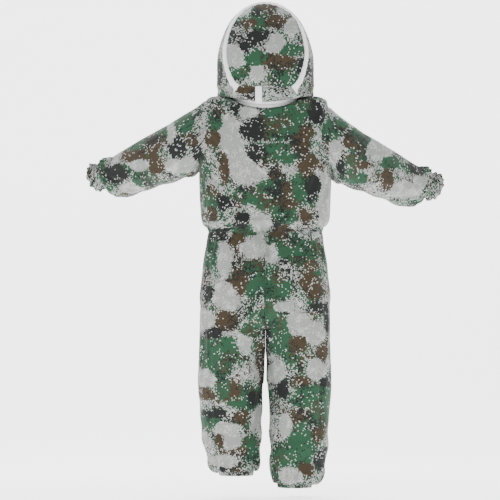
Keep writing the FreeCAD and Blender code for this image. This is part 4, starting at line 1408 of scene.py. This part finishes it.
# ---------------------------------------------------------------- assembly
def hold_seams(bodice, sleeves, trousers):
    """Marks what is sewn to something that doesn't give, and cuts the armholes and the front opening."""
    bodice.hold[:2] = bodice.hold[-4:] = 1
    bodice.hold[:, [0, 1, 2, -1, -2]] = 1
    for sheet, (_, k) in zip(sleeves, SIDES):
        hole = sheet.hole
        flat = bodice.points - hole
        size = (flat[..., 1] / 0.090) ** 2 + (flat[..., 2] / 0.114) ** 2
        beside = bodice.points[..., 0] * k > 0.12
        bodice.drop |= beside & (size < 0.85 ** 2)
        bodice.hold[beside & (size < 1.12 ** 2)] = 1
        sheet.hold[:2] = sheet.hold[-2:] = 1
    bodice.drop[:, 0] = True
    for sheet in trousers:
        sheet.hold[:2] = sheet.hold[-2:] = 1
        sheet.hold[:, [0, 1, -1, -2, -3]] = 1
        sheet.drop[:, -1] |= sheet.points[:, -1, 2] > ZIP_FOOT_Z


def pinch_seams(bodice, sleeves, trousers):
    """Every seam pulls the cloth in along its line and puckers it beside it."""
    lines = [(bodice, bodice.seams)] + [(s, [0]) for s in sleeves] + [(t, [t.side_seam]) for t in trousers]
    for sheet, columns in lines:
        amount = np.zeros((sheet.rows, sheet.cols))
        for column in columns:
            for step, deep in ((-2, 0.0005), (-1, 0.0003), (0, -0.0016), (1, 0.0003), (2, 0.0005)):
                at = (column + step) % sheet.cols
                wave = 0.0007 * np.sin(sheet.row_at * 2 * math.pi / 0.024 + column + step * 0.5)
                amount[:, at] += deep + (wave if step else 0)
        sheet.push(amount)


def tree_of_sheet(sheet):
    """A search tree over a sheet before it is smoothed."""
    faces = [[r * sheet.cols + c % sheet.cols for r, c in cell] for cell in sheet.faces()]
    return BVHTree.FromPolygons(sheet.points.reshape(-1, 3).tolist(), faces)


bodice = bodice_sheet()
bodice_tree = tree_of_sheet(bodice)
sleeves = [sleeve_sheet(side, k, bodice_tree) for side, k in SIDES]
trousers = [trouser_sheet(side, k) for side, k in SIDES]
shape_the_cloth(bodice, sleeves, trousers)
hold_seams(bodice, sleeves, trousers)
simulate([bodice] + sleeves + trousers)
meet_inner_legs(trousers)
pinch_seams(bodice, sleeves, trousers)
bodice_cloth = Cloth(bodice)
trouser_cloths = [Cloth(sheet) for sheet in trousers]
make_bodice(bodice_cloth)
for sheet, (side, k) in zip(sleeves, SIDES):
    make_sleeves(Cloth(sheet), side, k)
for cloth, (side, k) in zip(trouser_cloths, SIDES):
    make_trousers(cloth, side, k)
cuffs()
pockets(bodice_cloth, trouser_cloths)
throat_flap()
hood_cloth, skirt_cloth = make_hood()
hoop_bindings(hood_cloth, skirt_cloth)
neck_tapes()
zip_teeth()
front_tapes()
hanging_tab(hood_cloth, skirt_cloth)


def dress_cad():
    """Gives every CAD piece that still shows its own material."""
    slots = {s["node"]: s["material_slot"] for s in frame["record"]["subparts"]}
    for name, node in NODES.items():
        node.data.materials.clear()
        node.data.materials.append(LOOKS[slots[name]])


dress_cad()


def camera():
    """Behind the suit, level, at the height of the photograph's middle."""
    data = bpy.data.cameras.new("camera")
    data.sensor_width = 36
    away = 12.0
    half_view = 0.875
    data.lens = data.sensor_width / 2 * away / half_view
    data.clip_end = 100
    cam = bpy.data.objects.new("camera", data)
    bpy.context.scene.collection.objects.link(cam)
    cam.location = (0.054, away, -0.5355)
    cam.rotation_euler = (math.pi / 2, 0, math.pi)
    bpy.context.scene.camera = cam


def see_through_back(n):
    """Leaves out the back of a surface, so that the backdrop hides nothing seen from its other side."""
    clear = n.add("ShaderNodeBsdfTransparent")
    either = n.add("ShaderNodeMixShader")
    n.join(n.add("ShaderNodeNewGeometry").outputs["Backfacing"], either.inputs[0])
    n.join(n.shader.outputs[0], either.inputs[1])
    n.join(clear.outputs[0], either.inputs[2])
    n.join(either.outputs[0], n.tree.nodes["Material Output"].inputs["Surface"])


def studio():
    """A pale floor that curves up into a pale backdrop, four soft lights and a wash on the backdrop."""
    floor_z = -1.40
    profile = [(6.0, floor_z), (-1.6, floor_z)]
    bend = 1.2
    for i in range(1, 13):
        a = math.pi / 2 * i / 12
        profile.append((-1.6 - bend * math.sin(a), floor_z + bend * (1 - math.cos(a))))
    profile.append((-2.8, 6.0))
    points = [(x, y, z) for x in (-6.0, 6.0) for y, z in profile]
    count = len(profile)
    mesh = bpy.data.meshes.new("backdrop")
    mesh.from_pydata(points, [], [(i, i + 1, count + i + 1, count + i) for i in range(count - 1)])
    mesh.polygons.foreach_set("use_smooth", [True] * len(mesh.polygons))
    n = Nodes("backdrop_paper")
    grain = n.noise(object_coordinates(n), 40, 3.0)
    colour = n.mix(grain, (0.88, 0.88, 0.88, 1), (0.92, 0.92, 0.92, 1))
    paper = n.finish(colour, Roughness=0.95, Emission_Color=(1, 1, 1, 1), Emission_Strength=2.0)
    see_through_back(n)
    mesh.materials.append(paper)
    drop = bpy.data.objects.new("backdrop", mesh)
    bpy.context.scene.collection.objects.link(drop)
    lights = (
        ("key", (2.6, 4.2, 2.4), 130, 2.2),
        ("fill", (-3.4, 3.6, 0.8), 40, 3.5),
        ("front", (1.0, -2.2, 2.4), 50, 2.5),
        ("top", (0.0, 0.6, 3.4), 70, 2.4),
    )
    for name, place, power, size in lights:
        light = bpy.data.lights.new(name, "AREA")
        light.energy, light.size = power, size
        lamp = bpy.data.objects.new(name, light)
        bpy.context.scene.collection.objects.link(lamp)
        lamp.visible_camera = False
        lamp.location = place
        lamp.rotation_euler = (Vector((0, 0, -0.5)) - Vector(place)).to_track_quat("-Z", "Y").to_euler()
    wash = bpy.data.lights.new("backdrop_wash", "AREA")
    wash.shape = "RECTANGLE"
    wash.size, wash.size_y, wash.energy = 6.0, 0.8, 95
    lamp = bpy.data.objects.new("backdrop_wash", wash)
    bpy.context.scene.collection.objects.link(lamp)
    lamp.visible_camera = False
    lamp.location = (0.0, -1.1, 3.2)
    lamp.rotation_euler = (Vector((0, -2.8, -0.6)) - lamp.location).to_track_quat("-Z", "Y").to_euler()
    world = bpy.data.worlds.new("world")
    world.use_nodes = True
    world.node_tree.nodes["Background"].inputs[0].default_value = (0.95, 0.97, 1.0, 1)
    world.node_tree.nodes["Background"].inputs[1].default_value = 0.62
    bpy.context.scene.world = world


camera()
studio()
